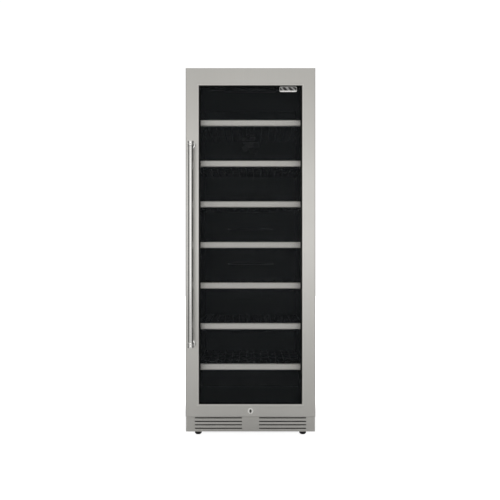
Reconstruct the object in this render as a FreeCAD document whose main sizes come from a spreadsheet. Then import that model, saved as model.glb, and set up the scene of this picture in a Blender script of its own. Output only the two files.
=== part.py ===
import FreeCAD, Part
import Sketcher
import math
import os

# Full-height glass-door wine cooler. Millimetres, X to the right, Y to the back, Z up.
# The origin is at the bottom centre of the whole object, the front faces -Y.

VECTOR = FreeCAD.Vector

document = FreeCAD.newDocument("WineCooler")
sheet = document.addObject("Spreadsheet::Sheet", "Sizes")
rows = 0


class Size:
    """A length as the document works it out: its text is a FreeCAD expression."""

    def __init__(self, text):
        self.text = str(text)

    def __str__(self):
        return self.text

    def __add__(self, other):
        return Size(f"({self} + {other})")

    def __radd__(self, other):
        return Size(f"({other} + {self})")

    def __sub__(self, other):
        return Size(f"({self} - {other})")

    def __rsub__(self, other):
        return Size(f"({other} - {self})")

    def __mul__(self, other):
        return Size(f"({self} * {other})")

    def __rmul__(self, other):
        return Size(f"({other} * {self})")

    def __truediv__(self, other):
        return Size(f"({self} / {other})")

    def __neg__(self):
        return Size(f"(0 - {self})")


def driving(alias, number):
    """Store one driving dimension in the sheet and return it as a size."""
    global rows
    rows += 1
    sheet.set(f"A{rows}", str(number))
    sheet.setAlias(f"A{rows}", alias)
    return Size(f"Sizes.{alias}")


def number(size):
    return float(sheet.evalExpression(f"{size} + 0"))


# ---- Driving dimensions ----

overall_width = driving("overall_width", 595)
overall_height = driving("overall_height", 1698)
body_depth = driving("body_depth", 680)  # door face to cabinet back
handle_reach = driving("handle_reach", 66)  # door face to the front of the bar
clearance = driving("clearance", 0.3)  # between pieces that move past each other
bearing_play = driving("bearing_play", 0.05)  # radial, pins and shafts in their bores

door_depth = driving("door_depth", 42)
door_gap = driving("door_gap", 8)
door_bottom = driving("door_bottom", 96)
skin = driving("skin", 2)
skin_edge_radius = driving("skin_edge_radius", 3)
skin_side_depth = driving("skin_side_depth", 38)
stile = driving("stile", 61)
top_rail = driving("top_rail", 80)
bottom_rail = driving("bottom_rail", 58)
trim_width = driving("trim_width", 8)
trim_bevel = driving("trim_bevel", 2)
trim_step = driving("trim_step", 0.8)  # trim behind the door face
pane = driving("pane", 4)
pane_gap = driving("pane_gap", 12)
pane_setback = driving("pane_setback", 9)
pane_overlap = driving("pane_overlap", 13.5)  # glass hidden behind the frame, each side
spacer_width = driving("spacer_width", 10)
gasket_width = driving("gasket_width", 18)
gasket_inset = driving("gasket_inset", 2.5)  # from the edge of the cavity
gasket_ease = driving("gasket_ease", 3)

bar_radius = driving("bar_radius", 12)
bar_length = driving("bar_length", 934)
bar_drop = driving("bar_drop", 9)  # bar's middle below the door's middle
bar_from_edge = driving("bar_from_edge", 27)  # door edge to the bar's middle
cap_radius = driving("cap_radius", 14)
cap_length = driving("cap_length", 24)
post_radius = driving("post_radius", 9)
flange_radius = driving("flange_radius", 19)
neck_radius = driving("neck_radius", 12)  # post where it meets its foot
flange_thickness = driving("flange_thickness", 6)

lock_height = driving("lock_height", 124)
lock_ring_radius = driving("lock_ring_radius", 13.4)
lock_barrel_radius = driving("lock_barrel_radius", 11)
lock_core_radius = driving("lock_core_radius", 8)
lock_shaft_radius = driving("lock_shaft_radius", 3.5)
lock_proud = driving("lock_proud", 2.5)
key_slot_width = driving("key_slot_width", 2.6)
key_slot_length = driving("key_slot_length", 10)
key_slot_depth = driving("key_slot_depth", 8)
plug_recess = driving("plug_recess", 0.5)  # plug behind the front of its ring
cam_width = driving("cam_width", 8)
cam_length = driving("cam_length", 22)
cam_thickness = driving("cam_thickness", 3)
cam_room = driving("cam_room", 3)  # free space around the cam
cam_space = driving("cam_space", 2)  # between the front frame and the cam

badge_width = driving("badge_width", 80)
badge_height = driving("badge_height", 24.5)
badge_thickness = driving("badge_thickness", 1.6)
badge_rim = driving("badge_rim", 1.5)
badge_side_gap = driving("badge_side_gap", 23)
badge_top_gap = driving("badge_top_gap", 4)

pin_inset = driving("pin_inset", 12)  # from the door's hinge edge
pin_setback = driving("pin_setback", 18)  # from the door face
pin_radius = driving("pin_radius", 4)
pin_length = driving("pin_length", 24)
bushing_radius = driving("bushing_radius", 6.5)
bushing_length = driving("bushing_length", 20)
bracket_sheet = driving("bracket_sheet", 3)
bracket_arm = driving("bracket_arm", 16)
bracket_plate_width = driving("bracket_plate_width", 70)
bracket_plate_depth = driving("bracket_plate_depth", 44)
bracket_side_gap = driving("bracket_side_gap", 2)
screw_radius = driving("screw_radius", 2)
screw_length = driving("screw_length", 6)
screw_head_radius = driving("screw_head_radius", 4.2)
screw_head_height = driving("screw_head_height", 2.4)
cover_screw_inset = driving("cover_screw_inset", 14)  # from the cabinet's side
cover_screw_drop = driving("cover_screw_drop", 8)  # below the machine room ceiling

cabinet_inset = driving("cabinet_inset", 2)
cabinet_bottom = driving("cabinet_bottom", 30)
top_step = driving("top_step", 6)
panel = driving("panel", 1)
frame_sheet = driving("frame_sheet", 1.5)
base_sheet = driving("base_sheet", 2)
side_wall = driving("side_wall", 43)
top_wall = driving("top_wall", 60)
rear_wall = driving("rear_wall", 50)
floor_height = driving("floor_height", 151)
floor_wall = driving("floor_wall", 35)
liner = driving("liner", 1.5)
machine_depth = driving("machine_depth", 230)
machine_height = driving("machine_height", 236)
step_wall = driving("step_wall", 25)

plinth_setback = driving("plinth_setback", 6)
plinth_inset = driving("plinth_inset", 1)
plinth_bottom = driving("plinth_bottom", 28)
plinth_top_gap = driving("plinth_top_gap", 1.2)
plinth_sheet = driving("plinth_sheet", 1.5)
slot_length = driving("slot_length", 217)
slot_height = driving("slot_height", 5)
slot_pitch = driving("slot_pitch", 15.9)
slot_first = driving("slot_first", 43)  # centre of the lowest slot above the floor
slot_middle = driving("slot_middle", 78)  # blank stretch between the two groups
slot_rows = 4

foot_radius = driving("foot_radius", 16)
foot_height = driving("foot_height", 27)
foot_bevel = driving("foot_bevel", 5)
foot_stem_radius = driving("foot_stem_radius", 5)
foot_stem_length = driving("foot_stem_length", 62)
foot_from_side = driving("foot_from_side", 52.5)  # door edge to the foot's middle
foot_from_front = driving("foot_from_front", 22)
foot_from_back = driving("foot_from_back", 40)
foot_ease = driving("foot_ease", 1.5)
foot_nut_radius = driving("foot_nut_radius", 9)
foot_nut_height = driving("foot_nut_height", 12)

shelf_end_space = driving("shelf_end_space", 160.8)  # window edge to the nearest shelf
shelf_trim_height = driving("shelf_trim_height", 28.4)
shelf_trim_depth = driving("shelf_trim_depth", 14)
shelf_trim_sheet = driving("shelf_trim_sheet", 1.5)
shelf_trim_bevel = driving("shelf_trim_bevel", 3)
shelf_front_gap = driving("shelf_front_gap", 10)
shelf_side_gap = driving("shelf_side_gap", 4)
rack_inset = driving("rack_inset", 6)  # rack narrower than its front, each side
rack_wire = driving("rack_wire", 2.5)  # radius
rack_depth = driving("rack_depth", 505)
rail_width = driving("rail_width", 14)
rail_height = driving("rail_height", 18)
rail_sheet = driving("rail_sheet", 1.5)
rail_length = driving("rail_length", 490)
rail_setback = driving("rail_setback", 6)  # behind the shelf's front
shelf_count = 7
rack_wires = 14
rack_bearers = 4
weld_pitch = 1.6  # wire radii between the middles of two crossing wires, which melt together

duct_half_width = driving("duct_half_width", 200)
duct_depth = driving("duct_depth", 33)
duct_bottom = driving("duct_bottom", 346)
duct_top_gap = driving("duct_top_gap", 60)
duct_sheet = driving("duct_sheet", 1.5)
duct_slot_height = driving("duct_slot_height", 8)
duct_slot_half = driving("duct_slot_half", 120)
duct_slot_lift = driving("duct_slot_lift", 60)
duct_slots = 9
throat_gap = driving("throat_gap", 3)  # around the blades of the cold fan
cool_fan_drop = driving("cool_fan_drop", 130)  # below the top of the duct
cool_fan_radius = driving("cool_fan_radius", 52)
cool_fan_width = driving("cool_fan_width", 12)
shaft_radius = driving("shaft_radius", 3)
shaft_grip = driving("shaft_grip", 9)  # how far a shaft runs into the hub
motor_radius = driving("motor_radius", 20)
blade_sheet = driving("blade_sheet", 1.8)
fan_blades = 5
coil_half_width = driving("coil_half_width", 160)
coil_lift = driving("coil_lift", 310)  # above the bottom of the duct
coil_pitch = driving("coil_pitch", 60)
coil_radius = driving("coil_radius", 4)
coil_plate = driving("coil_plate", 1.5)
coil_margin = driving("coil_margin", 20)  # plate around the winding
coil_space = driving("coil_space", 8)  # free space in front of the winding
coil_turns = 8

control_half_width = driving("control_half_width", 120)
control_depth = driving("control_depth", 46)
control_height = driving("control_height", 24)
control_setback = driving("control_setback", 8)
control_bevel = driving("control_bevel", 6)
control_rim = driving("control_rim", 10)  # beside the display face
lamp_half_length = driving("lamp_half_length", 190)
lamp_height = driving("lamp_height", 9)
lamp_depth = driving("lamp_depth", 18)
lamp_edge = driving("lamp_edge", 4)

compressor_radius = driving("compressor_radius", 62)
compressor_height = driving("compressor_height", 150)
compressor_left = driving("compressor_left", 150)
compressor_lift = driving("compressor_lift", 10)
compressor_plate = driving("compressor_plate", 3)
grommet_radius = driving("grommet_radius", 8)
condenser_width = driving("condenser_width", 50)
condenser_left = driving("condenser_left", 110)  # its left side, right of the middle
condenser_depth = driving("condenser_depth", 170)
condenser_height = driving("condenser_height", 170)
condenser_shoe = driving("condenser_shoe", 4)
condenser_tube = driving("condenser_tube", 4)  # radius
fin_sheet = driving("fin_sheet", 1)
fin_count = 22
tube_rows = 4
warm_fan_radius = driving("warm_fan_radius", 70)
warm_fan_width = driving("warm_fan_width", 14)
warm_fan_shift = driving("warm_fan_shift", 4)  # fan off the middle of its shroud
warm_fan_gap = driving("warm_fan_gap", 2)  # motor to hub
shroud_gap = driving("shroud_gap", 6)  # around the blades of the warm fan
shroud_wall = driving("shroud_wall", 3)
arm_width = driving("arm_width", 10)
fan_frame = driving("fan_frame", 26)
tray_height = driving("tray_height", 22)
tray_wall = driving("tray_wall", 2)
tray_length = driving("tray_length", 160)
louvre_length = driving("louvre_length", 170)
louvre_height = driving("louvre_height", 8)
louvre_pitch = driving("louvre_pitch", 20)
louvre_first = driving("louvre_first", 60)  # above the machine room floor
louvre_rows = 7
pipe_radius = driving("pipe_radius", 3.2)
pipe_bend = driving("pipe_bend", 18)
inlet_width = driving("inlet_width", 48)
inlet_height = driving("inlet_height", 28)
inlet_depth = driving("inlet_depth", 24)
inlet_from_side = driving("inlet_from_side", 72.5)  # door edge to the inlet's middle
inlet_lift = driving("inlet_lift", 24)
inlet_wall = driving("inlet_wall", 3)
blade_pitch = driving("blade_pitch", 9)

document.recompute()

# ---- Places worked out from them ----

rearmost = (body_depth + handle_reach) / 2
face = handle_reach - rearmost
back = rearmost - screw_head_height
door_back = face + door_depth
cabinet_front = door_back + door_gap
half_door = overall_width / 2
bar_from_centre = half_door - bar_from_edge
foot_from_centre = half_door - foot_from_side
inlet_from_centre = half_door - inlet_from_side
half_cabinet = half_door - cabinet_inset
half_cavity = half_cabinet - side_wall
cabinet_top = overall_height - top_step
ceiling = cabinet_top - top_wall
cavity_back = back - rear_wall
machine_front = back - machine_depth
machine_ceiling = cabinet_bottom + machine_height
step_front = machine_front - floor_wall
step_top = machine_ceiling + step_wall
window = half_door - stile
window_low = door_bottom + bottom_rail
window_high = overall_height - top_rail
pane_front = face + pane_setback
inner_pane_front = pane_front + pane + pane_gap
glass_back = inner_pane_front + pane
pin_x = half_door - pin_inset
pin_y = face + pin_setback
bracket_top = cabinet_top + bracket_sheet
notch_low = cabinet_top - 2  # floor of the door's notch, below the bracket's arm
low_bracket_top = door_bottom - plinth_top_gap
shelf_front = cabinet_front + shelf_front_gap
half_shelf = half_cavity - shelf_side_gap
half_rack = half_shelf - rack_inset
shelf_first = window_low + shelf_end_space
shelf_pitch = (window_high - window_low - 2 * shelf_end_space) / (shelf_count - 1)
duct_front = cavity_back - duct_depth
duct_top = ceiling - duct_top_gap
duct_slot_pitch = shelf_pitch / 2
cool_fan_height = duct_top - cool_fan_drop
coil_bottom = duct_bottom + coil_lift
bar_y = face - handle_reach + cap_radius
bar_middle_height = (door_bottom + overall_height) / 2 - bar_drop
bar_low = bar_middle_height - bar_length / 2
bar_high = bar_middle_height + bar_length / 2


# ---- Tools of the drawing board ----


def bind(thing, **sizes):
    """Tie properties of a document object to sizes, Placement__Base__x standing for Placement.Base.x."""
    for name, size in sizes.items():
        thing.setExpression(name.replace("__", "."), f"{size} + 0")
    return thing


def box(name, x, y, z):
    block = document.addObject("Part::Box", name)
    bind(block, Length=f"{x[1]} - {x[0]}", Width=f"{y[1]} - {y[0]}", Height=f"{z[1]} - {z[0]}")
    return bind(block, Placement__Base__x=x[0], Placement__Base__y=y[0], Placement__Base__z=z[0])


TURNS = {
    "x": FreeCAD.Rotation(VECTOR(0, 1, 0), 90),
    "y": FreeCAD.Rotation(VECTOR(1, 0, 0), -90),
    "z": FreeCAD.Rotation(),
}


def rod(name, axis, start, length, radius):
    """A round bar from its start point along one axis."""
    bar = document.addObject("Part::Cylinder", name)
    bar.Placement = FreeCAD.Placement(VECTOR(), TURNS[axis])
    bind(bar, Radius=radius, Height=length)
    return bind(bar, Placement__Base__x=start[0], Placement__Base__y=start[1], Placement__Base__z=start[2])


def fuse(name, pieces):
    whole = document.addObject("Part::MultiFuse", name)
    whole.Shapes = pieces
    return whole


def cut(name, base, tool):
    rest = document.addObject("Part::Cut", name)
    rest.Base = base
    rest.Tool = tool
    return rest


def group(name, pieces):
    """Identical separate pieces that share one node."""
    together = document.addObject("Part::Compound", name)
    together.Links = pieces
    return together


def new_body(name):
    return document.addObject("PartDesign::Body", name)


def sketch(body, plane, level):
    """A sketch on one of the body's own planes, moved out to a level along the plane's axis."""
    drawing = body.newObject("Sketcher::SketchObject", f"{body.Name}_sketch")
    support = [item for item in body.Origin.OriginFeatures if item.Role == f"{plane}_Plane"][0]
    drawing.AttachmentSupport = [(support, "")]
    drawing.MapMode = "FlatFace"
    # The normal of the XZ plane points to -Y.
    return bind(drawing, AttachmentOffset__Base__z=-level if plane == "XZ" else level)


def pin_point(drawing, curve, end, place):
    """Fix one point of a curve at its distance from the sketch's origin."""
    for kind, distance in zip(("DistanceX", "DistanceY"), place):
        constraint = Sketcher.Constraint(kind, -1, 1, curve, end, number(distance))
        index = drawing.addConstraint(constraint)
        drawing.setExpression(f"Constraints[{index}]", f"{distance} + 0")


def outline(drawing, points):
    """A closed outline of straight lines through points given as pairs of sizes."""
    places = [VECTOR(number(across), number(up), 0) for across, up in points]
    ends = places[1:] + places[:1]
    lines = [drawing.addGeometry(Part.LineSegment(low, high), False) for low, high in zip(places, ends)]
    for line, following in zip(lines, lines[1:] + lines[:1]):
        drawing.addConstraint(Sketcher.Constraint("Coincident", line, 2, following, 1))
    for line, point in zip(lines, points):
        pin_point(drawing, line, 1, point)


def rectangle(drawing, across, up):
    outline(drawing, [(across[0], up[0]), (across[1], up[0]), (across[1], up[1]), (across[0], up[1])])


def circle(drawing, centre, radius):
    middle = VECTOR(number(centre[0]), number(centre[1]), 0)
    ring = drawing.addGeometry(Part.Circle(middle, VECTOR(0, 0, 1), number(radius)), False)
    index = drawing.addConstraint(Sketcher.Constraint("Radius", ring, number(radius)))
    drawing.setExpression(f"Constraints[{index}]", f"{radius} + 0")
    pin_point(drawing, ring, 3, centre)


def slot(drawing, across, middle, height):
    """A lying slot with round ends."""
    radius = height / 2
    low, high, up = number(across[0] + radius), number(across[1] - radius), number(middle)
    size = number(radius)
    flat = VECTOR(0, 0, 1)
    quarter = math.pi / 2
    round_ends = [
        Part.ArcOfCircle(Part.Circle(VECTOR(low, up, 0), flat, size), quarter, 3 * quarter),
        Part.ArcOfCircle(Part.Circle(VECTOR(high, up, 0), flat, size), -quarter, quarter),
    ]
    straight = [
        Part.LineSegment(VECTOR(high, up + size, 0), VECTOR(low, up + size, 0)),
        Part.LineSegment(VECTOR(low, up - size, 0), VECTOR(high, up - size, 0)),
    ]
    left, right, top, foot = [drawing.addGeometry(curve, False) for curve in round_ends + straight]
    joints = ((left, 1, top, 2), (top, 1, right, 2), (right, 1, foot, 2), (foot, 1, left, 2))
    for first, one, second, two in joints:
        drawing.addConstraint(Sketcher.Constraint("Tangent", first, one, second, two))
    index = drawing.addConstraint(Sketcher.Constraint("Radius", left, size))
    drawing.setExpression(f"Constraints[{index}]", f"{radius} + 0")
    pin_point(drawing, left, 3, (across[0] + radius, middle))
    index = drawing.addConstraint(Sketcher.Constraint("DistanceX", -1, 1, right, 3, high))
    drawing.setExpression(f"Constraints[{index}]", f"{across[1] - radius} + 0")


def pad(body, plane, low, high, draw):
    """Solid between two levels of the plane's axis; draw fills the sketch."""
    drawing = sketch(body, plane, high if plane == "XZ" else low)
    draw(drawing)
    feature = body.newObject("PartDesign::Pad", f"{body.Name}_pad")
    feature.Profile = drawing
    return bind(feature, Length=f"{high} - {low}")


def pocket(body, plane, low, high, draw):
    """Cut away what lies between two levels of the plane's axis."""
    drawing = sketch(body, plane, low if plane == "XZ" else high)
    draw(drawing)
    feature = body.newObject("PartDesign::Pocket", f"{body.Name}_pocket")
    feature.Profile = drawing
    return bind(feature, Length=f"{high} - {low}")


def repeat(body, feature, direction, pitch, count):
    """The feature again and again along one axis of its sketch."""
    pattern = body.newObject("PartDesign::LinearPattern", f"{body.Name}_pattern")
    pattern.Originals = [feature]
    pattern.Direction = (feature.Profile[0], [direction])
    pattern.Mode = "Spacing"
    pattern.Occurrences = count
    bind(pattern, Offset=pitch)
    body.Tip = pattern
    return pattern


def revolve(body, points, plane="XZ", axis="V_Axis"):
    drawing = sketch(body, plane, Size(0))
    outline(drawing, points)
    feature = body.newObject("PartDesign::Revolution", f"{body.Name}_turned")
    feature.Profile = drawing
    feature.ReferenceAxis = (drawing, [axis])
    feature.Angle = 360
    return feature


def ease(body, kind, size, chosen):
    """Fillet or chamfer the edges that the chosen test picks from the body's last feature."""
    document.recompute()
    last = body.Tip
    names = [f"Edge{index + 1}" for index, edge in enumerate(last.Shape.Edges) if chosen(edge)]
    feature = body.newObject(f"PartDesign::{kind}", f"{body.Name}_{kind.lower()}")
    feature.Base = (last, names)
    bind(feature, **{"Radius" if kind == "Fillet" else "Size": size})
    body.Tip = feature
    return feature


def lies_at(edge, axis, level):
    """True where the whole edge lies at one level of an axis."""
    limits = edge.BoundBox
    low, high = getattr(limits, f"{axis}Min"), getattr(limits, f"{axis}Max")
    return abs(low - number(level)) < 0.01 and abs(high - number(level)) < 0.01


def ring(body, low, high, outer, inner):
    """A picture frame in the XZ plane: outer and inner are (half width, bottom, top)."""
    pad(body, "XZ", low, high, lambda drawing: rectangle(drawing, (-outer[0], outer[0]), outer[1:]))
    return pocket(body, "XZ", low, high, lambda drawing: rectangle(drawing, (-inner[0], inner[0]), inner[1:]))


def around_window(margin):
    return window + margin, window_low - margin, window_high + margin


def cam_cavity(body, depth):
    """Room behind the front frame in which the lock's cam turns."""
    low = cabinet_front + frame_sheet
    reach = cam_length - cam_width / 2 + cam_room
    bottom, top = lock_height - reach, lock_height + cam_width / 2 + cam_room
    pocket(body, "XZ", low, low + depth, lambda front: rectangle(front, (-reach, reach), (bottom, top)))


# ---- Cabinet ----


def side_panel(side, sign):
    across = sorted((sign * half_cabinet, sign * (half_cabinet - panel)), key=number)
    return box(f"side_panel_{side}", across, (cabinet_front, back), (cabinet_bottom, cabinet_top))


def top_panel():
    half = half_cabinet - panel
    return box("top_panel", (-half, half), (cabinet_front, back), (cabinet_top - panel, cabinet_top))


def rear_panel():
    half = half_cabinet - panel
    return box("rear_panel", (-half, half), (back - panel, back), (machine_ceiling, cabinet_top - panel))


def foot_places():
    front, rear = cabinet_front + foot_from_front, back - foot_from_back
    for depth, y in (("front", front), ("rear", rear)):
        for side, x in (("left", -foot_from_centre), ("right", foot_from_centre)):
            yield f"{depth}_{side}", x, y


def base_pan():
    """The floor tray, with a threaded boss over each foot."""
    body = new_body("base_pan")
    half = half_cabinet - panel
    top = cabinet_bottom + base_sheet
    pad(body, "XY", cabinet_bottom, top, lambda plan: rectangle(plan, (-half, half), (cabinet_front, back)))
    for _, x, y in foot_places():
        pad(body, "XY", top, top + foot_nut_height, lambda plan: circle(plan, (x, y), foot_nut_radius))
    bore = foot_stem_radius + clearance
    for _, x, y in foot_places():
        pocket(body, "XY", cabinet_bottom, top + foot_nut_height, lambda plan: circle(plan, (x, y), bore))
    return body


def step_profile(front, bottom, riser, step, rear, top):
    """Side view of the cavity or of the block around it, with the step over the machine room."""
    return [(front, bottom), (riser, bottom), (riser, step), (rear, step), (rear, top), (front, top)]


def hollow_block(name, outer_half, outer, inner_half, inner):
    body = new_body(name)
    pad(body, "YZ", -outer_half, outer_half, lambda side: outline(side, outer))
    pocket(body, "YZ", -inner_half, inner_half, lambda side: outline(side, inner))
    return body


def inner_liner():
    front = cabinet_front + frame_sheet
    outer = step_profile(
        front, floor_height - liner, step_front, step_top - liner, cavity_back + liner, ceiling + liner
    )
    inner = step_profile(front, floor_height, step_front - liner, step_top, cavity_back, ceiling)
    return hollow_block("inner_liner", half_cavity + liner, outer, half_cavity, inner)


def insulation_foam():
    front = cabinet_front + frame_sheet
    low = floor_height - floor_wall + panel
    outer = step_profile(
        front, low, machine_front - panel, machine_ceiling + panel, back - panel, cabinet_top - panel
    )
    inner = step_profile(
        front, floor_height - liner, step_front, step_top - liner, cavity_back + liner, ceiling + liner
    )
    body = hollow_block("insulation_foam", half_cabinet - panel, outer, half_cavity + liner, inner)
    cam_cavity(body, cam_thickness + 3 * cam_room)
    return body


def machine_bulkhead():
    """Folded sheet under the foam: floor underside, machine room front and machine room ceiling."""
    body = new_body("machine_bulkhead")
    low = floor_height - floor_wall
    front = cabinet_front + frame_sheet
    profile = [
        (front, low),
        (machine_front, low),
        (machine_front, machine_ceiling),
        (back - panel, machine_ceiling),
        (back - panel, machine_ceiling + panel),
        (machine_front - panel, machine_ceiling + panel),
        (machine_front - panel, low + panel),
        (front, low + panel),
    ]
    half = half_cabinet - panel
    pad(body, "YZ", -half, half, lambda side: outline(side, profile))
    cam_cavity(body, cam_thickness + 3 * cam_room)
    return body


def front_frame():
    """Painted frame that the gasket closes on, with the lock's slot and the air opening."""
    body = new_body("front_frame")
    low, high = cabinet_front, cabinet_front + frame_sheet
    half = half_cabinet - panel
    bottom = cabinet_bottom + base_sheet
    ring(body, low, high, (half, bottom, cabinet_top - panel), (half_cavity, floor_height, ceiling))
    margin = 30
    air = slot_middle / 2 + slot_length - margin
    air_low, air_high = bottom + 8, low_bracket_top - 6
    pocket(body, "XZ", low, high, lambda front: rectangle(front, (-air, air), (air_low, air_high)))
    room = cam_width / 2 + cam_room
    reach = cam_length - cam_width / 2 + cam_room
    top = lock_height + cam_width / 2 + cam_room
    pocket(body, "XZ", low, high, lambda front: rectangle(front, (-room, room), (lock_height - reach, top)))
    return body


def plinth_grille():
    """Folded kick plate with two groups of lying slots and side returns to the cabinet."""
    body = new_body("plinth_grille")
    low = face + plinth_setback
    half = half_door - plinth_inset
    inside = half - plinth_sheet
    top = door_bottom - plinth_top_gap
    plate = low + plinth_sheet
    pad(body, "XZ", low, cabinet_front, lambda front: rectangle(front, (-half, half), (plinth_bottom, top)))
    floor = plinth_bottom + plinth_sheet
    pocket(body, "XZ", plate, cabinet_front, lambda front: rectangle(front, (-inside, inside), (floor, top)))
    for start in (-(slot_middle / 2 + slot_length), slot_middle / 2):
        across = (start, start + slot_length)
        cutter = pocket(body, "XZ", low, plate, lambda front: slot(front, across, slot_first, slot_height))
        repeat(body, cutter, "V_Axis", slot_pitch, slot_rows)
    return body


def hinge_bracket(name, plate, arm_low, pin_low):
    """Screwed plate, an arm out to the pin and the pin itself, riveted in the arm."""
    arm_high = arm_low + bracket_sheet
    half = bracket_arm / 2
    arm = box(f"{name}_arm", (pin_x - half, pin_x + half), (pin_y, cabinet_front), (arm_low, arm_high))
    end = rod(f"{name}_end", "z", (pin_x, pin_y, arm_low), bracket_sheet, half)
    pin = rod(f"{name}_pin", "z", (pin_x, pin_y, pin_low), pin_length, pin_radius)
    return fuse(name, [plate, arm, end, pin])


def hinge_bracket_top():
    right = half_cabinet - panel
    plate = box(
        "hinge_bracket_top_plate",
        (right - bracket_plate_width, right),
        (cabinet_front, cabinet_front + bracket_plate_depth),
        (cabinet_top, bracket_top),
    )
    return hinge_bracket("hinge_bracket_top", plate, cabinet_top, bracket_top - pin_length)


def hinge_bracket_bottom():
    right = half_cabinet - panel - bracket_side_gap
    plate = box(
        "hinge_bracket_bottom_plate",
        (right - bracket_plate_width, right),
        (cabinet_front - bracket_sheet, cabinet_front),
        (low_bracket_top - bracket_plate_depth, low_bracket_top),
    )
    arm_low = low_bracket_top - bracket_sheet
    return hinge_bracket("hinge_bracket_bottom", plate, arm_low, arm_low)


def screw(name, axis, seat, outward):
    """Pan head standing outward from its seat, shank running the other way."""
    index = "xyz".index(axis)
    head_start, shank_start = list(seat), list(seat)
    if outward > 0:
        shank_start[index] = seat[index] - screw_length
    else:
        head_start[index] = seat[index] - screw_head_height
    head = rod(f"{name}_head", axis, head_start, screw_head_height, screw_head_radius)
    shank = rod(f"{name}_shank", axis, shank_start, screw_length, screw_radius)
    return fuse(name, [head, shank])


def cabinet_screws():
    """Screws of both hinge brackets and of the machine room cover."""
    right = half_cabinet - panel
    screws = []
    top_y = cabinet_front + bracket_plate_depth / 2
    low_z = low_bracket_top - bracket_plate_depth / 2
    for index, share in enumerate((0.17, 0.5, 0.83)):
        x = right - share * bracket_plate_width
        screws.append(screw(f"top_screw_{index}", "z", (x, top_y, bracket_top), 1))
    for index, share in enumerate((0.2, 0.8)):
        x = right - share * bracket_plate_width - bracket_side_gap
        screws.append(screw(f"low_screw_{index}", "y", (x, cabinet_front - bracket_sheet, low_z), -1))
    edge = half_cabinet - cover_screw_inset
    for index, x in enumerate((-edge, -edge / 3, edge / 3, edge)):
        screws.append(screw(f"cover_screw_{index}", "y", (x, back, machine_ceiling - cover_screw_drop), 1))
    return group("cabinet_screws", screws)


def shelf_height(index):
    return shelf_first + index * shelf_pitch


def shelf_rails():
    """Angle rails on both side walls, one pair under each shelf."""
    rails = []
    front = shelf_front + shelf_trim_depth + rail_setback
    along = (front, front + rail_length)
    for index in range(shelf_count):
        ledge = shelf_height(index) - 3 * rack_wire - clearance
        bottom = ledge - rail_sheet
        for side, sign in (("left", -1), ("right", 1)):
            name = f"rail_{side}_{index + 1}"
            wall = sorted((sign * half_cavity, sign * (half_cavity - rail_sheet)), key=number)
            shelf = sorted((sign * half_cavity, sign * (half_cavity - rail_width)), key=number)
            upright = box(f"{name}_wall", wall, along, (bottom, ledge + rail_height))
            flat = box(f"{name}_ledge", shelf, along, (bottom, ledge))
            rails.append(fuse(name, [upright, flat]))
    return group("shelf_rails", rails)


# ---- Shelves ----


def shelf_trim(index):
    """Channel-shaped stainless front, bevelled along its top and bottom edges."""
    body = new_body(f"shelf_{index + 1}_trim")
    middle = shelf_height(index)
    half_height = shelf_trim_height / 2
    front, rear = shelf_front, shelf_front + shelf_trim_depth
    edge = shelf_trim_bevel
    thick = shelf_trim_sheet
    high, low = middle + half_height, middle - half_height
    profile = [
        (front, low + edge),
        (front + edge, low),
        (rear, low),
        (rear, low + thick),
        (front + edge, low + thick),
        (front + thick, low + edge + 0.4 * thick),
        (front + thick, high - edge - 0.4 * thick),
        (front + edge, high - thick),
        (rear, high - thick),
        (rear, high),
        (front + edge, high),
        (front, high - edge),
    ]
    pad(body, "YZ", -half_shelf, half_shelf, lambda side: outline(side, profile))
    return body


def shelf_rack(index):
    """Welded wire rack: long wires front to back lie on cross bearers."""
    name = f"shelf_{index + 1}_rack"
    middle = shelf_height(index)
    front = shelf_front + shelf_trim_sheet + clearance
    wires = []
    spread = 2 * (half_rack - rack_wire)
    for wire in range(rack_wires):
        x = -(half_rack - rack_wire) + wire * spread / (rack_wires - 1)
        wires.append(rod(f"{name}_wire_{wire}", "y", (x, front, middle), rack_depth, rack_wire))
    stretch = rack_depth - 2 * rack_wire
    for bearer in range(rack_bearers):
        y = front + rack_wire + bearer * stretch / (rack_bearers - 1)
        height = middle - weld_pitch * rack_wire
        wires.append(rod(f"{name}_bearer_{bearer}", "x", (-half_rack, y, height), 2 * half_rack, rack_wire))
    return fuse(name, wires)


# ---- Door ----


def hinge_notch(body, inner_side, depth_low):
    """Room for the top bracket's arm, open to the back, to the hinge side and to the top."""
    across = (pin_x - bracket_arm / 2 - inner_side, half_door + 1)
    up = (notch_low, overall_height + 1)
    pocket(body, "XZ", depth_low, door_back, lambda front: rectangle(front, across, up))


def lock_hole(body, low, high):
    pocket(body, "XZ", low, high, lambda front: circle(front, (Size(0), lock_height), lock_barrel_radius))


def pin_hole(body, low, high, radius):
    pocket(body, "XY", low, high, lambda plan: circle(plan, (pin_x, pin_y), radius))


def door_skin():
    """Stainless pan: front plate with the window opening and folded edges."""
    body = new_body("door_skin")
    high = face + skin_side_depth
    inside = half_door - skin
    up = (door_bottom, overall_height)
    pad(body, "XZ", face, high, lambda front: rectangle(front, (-half_door, half_door), up))
    ease(body, "Fillet", skin_edge_radius, lambda edge: lies_at(edge, "Y", face))
    pocket(
        body,
        "XZ",
        face + skin,
        high,
        lambda front: rectangle(front, (-inside, inside), (door_bottom + skin, overall_height - skin)),
    )
    half, low, top = around_window(trim_width + clearance)
    pocket(body, "XZ", face, face + skin, lambda front: rectangle(front, (-half, half), (low, top)))
    hinge_notch(body, 2, face + skin)
    lock_hole(body, face, face + skin)
    pin_hole(body, door_bottom, door_bottom + skin, pin_radius + 1)
    return body


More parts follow.
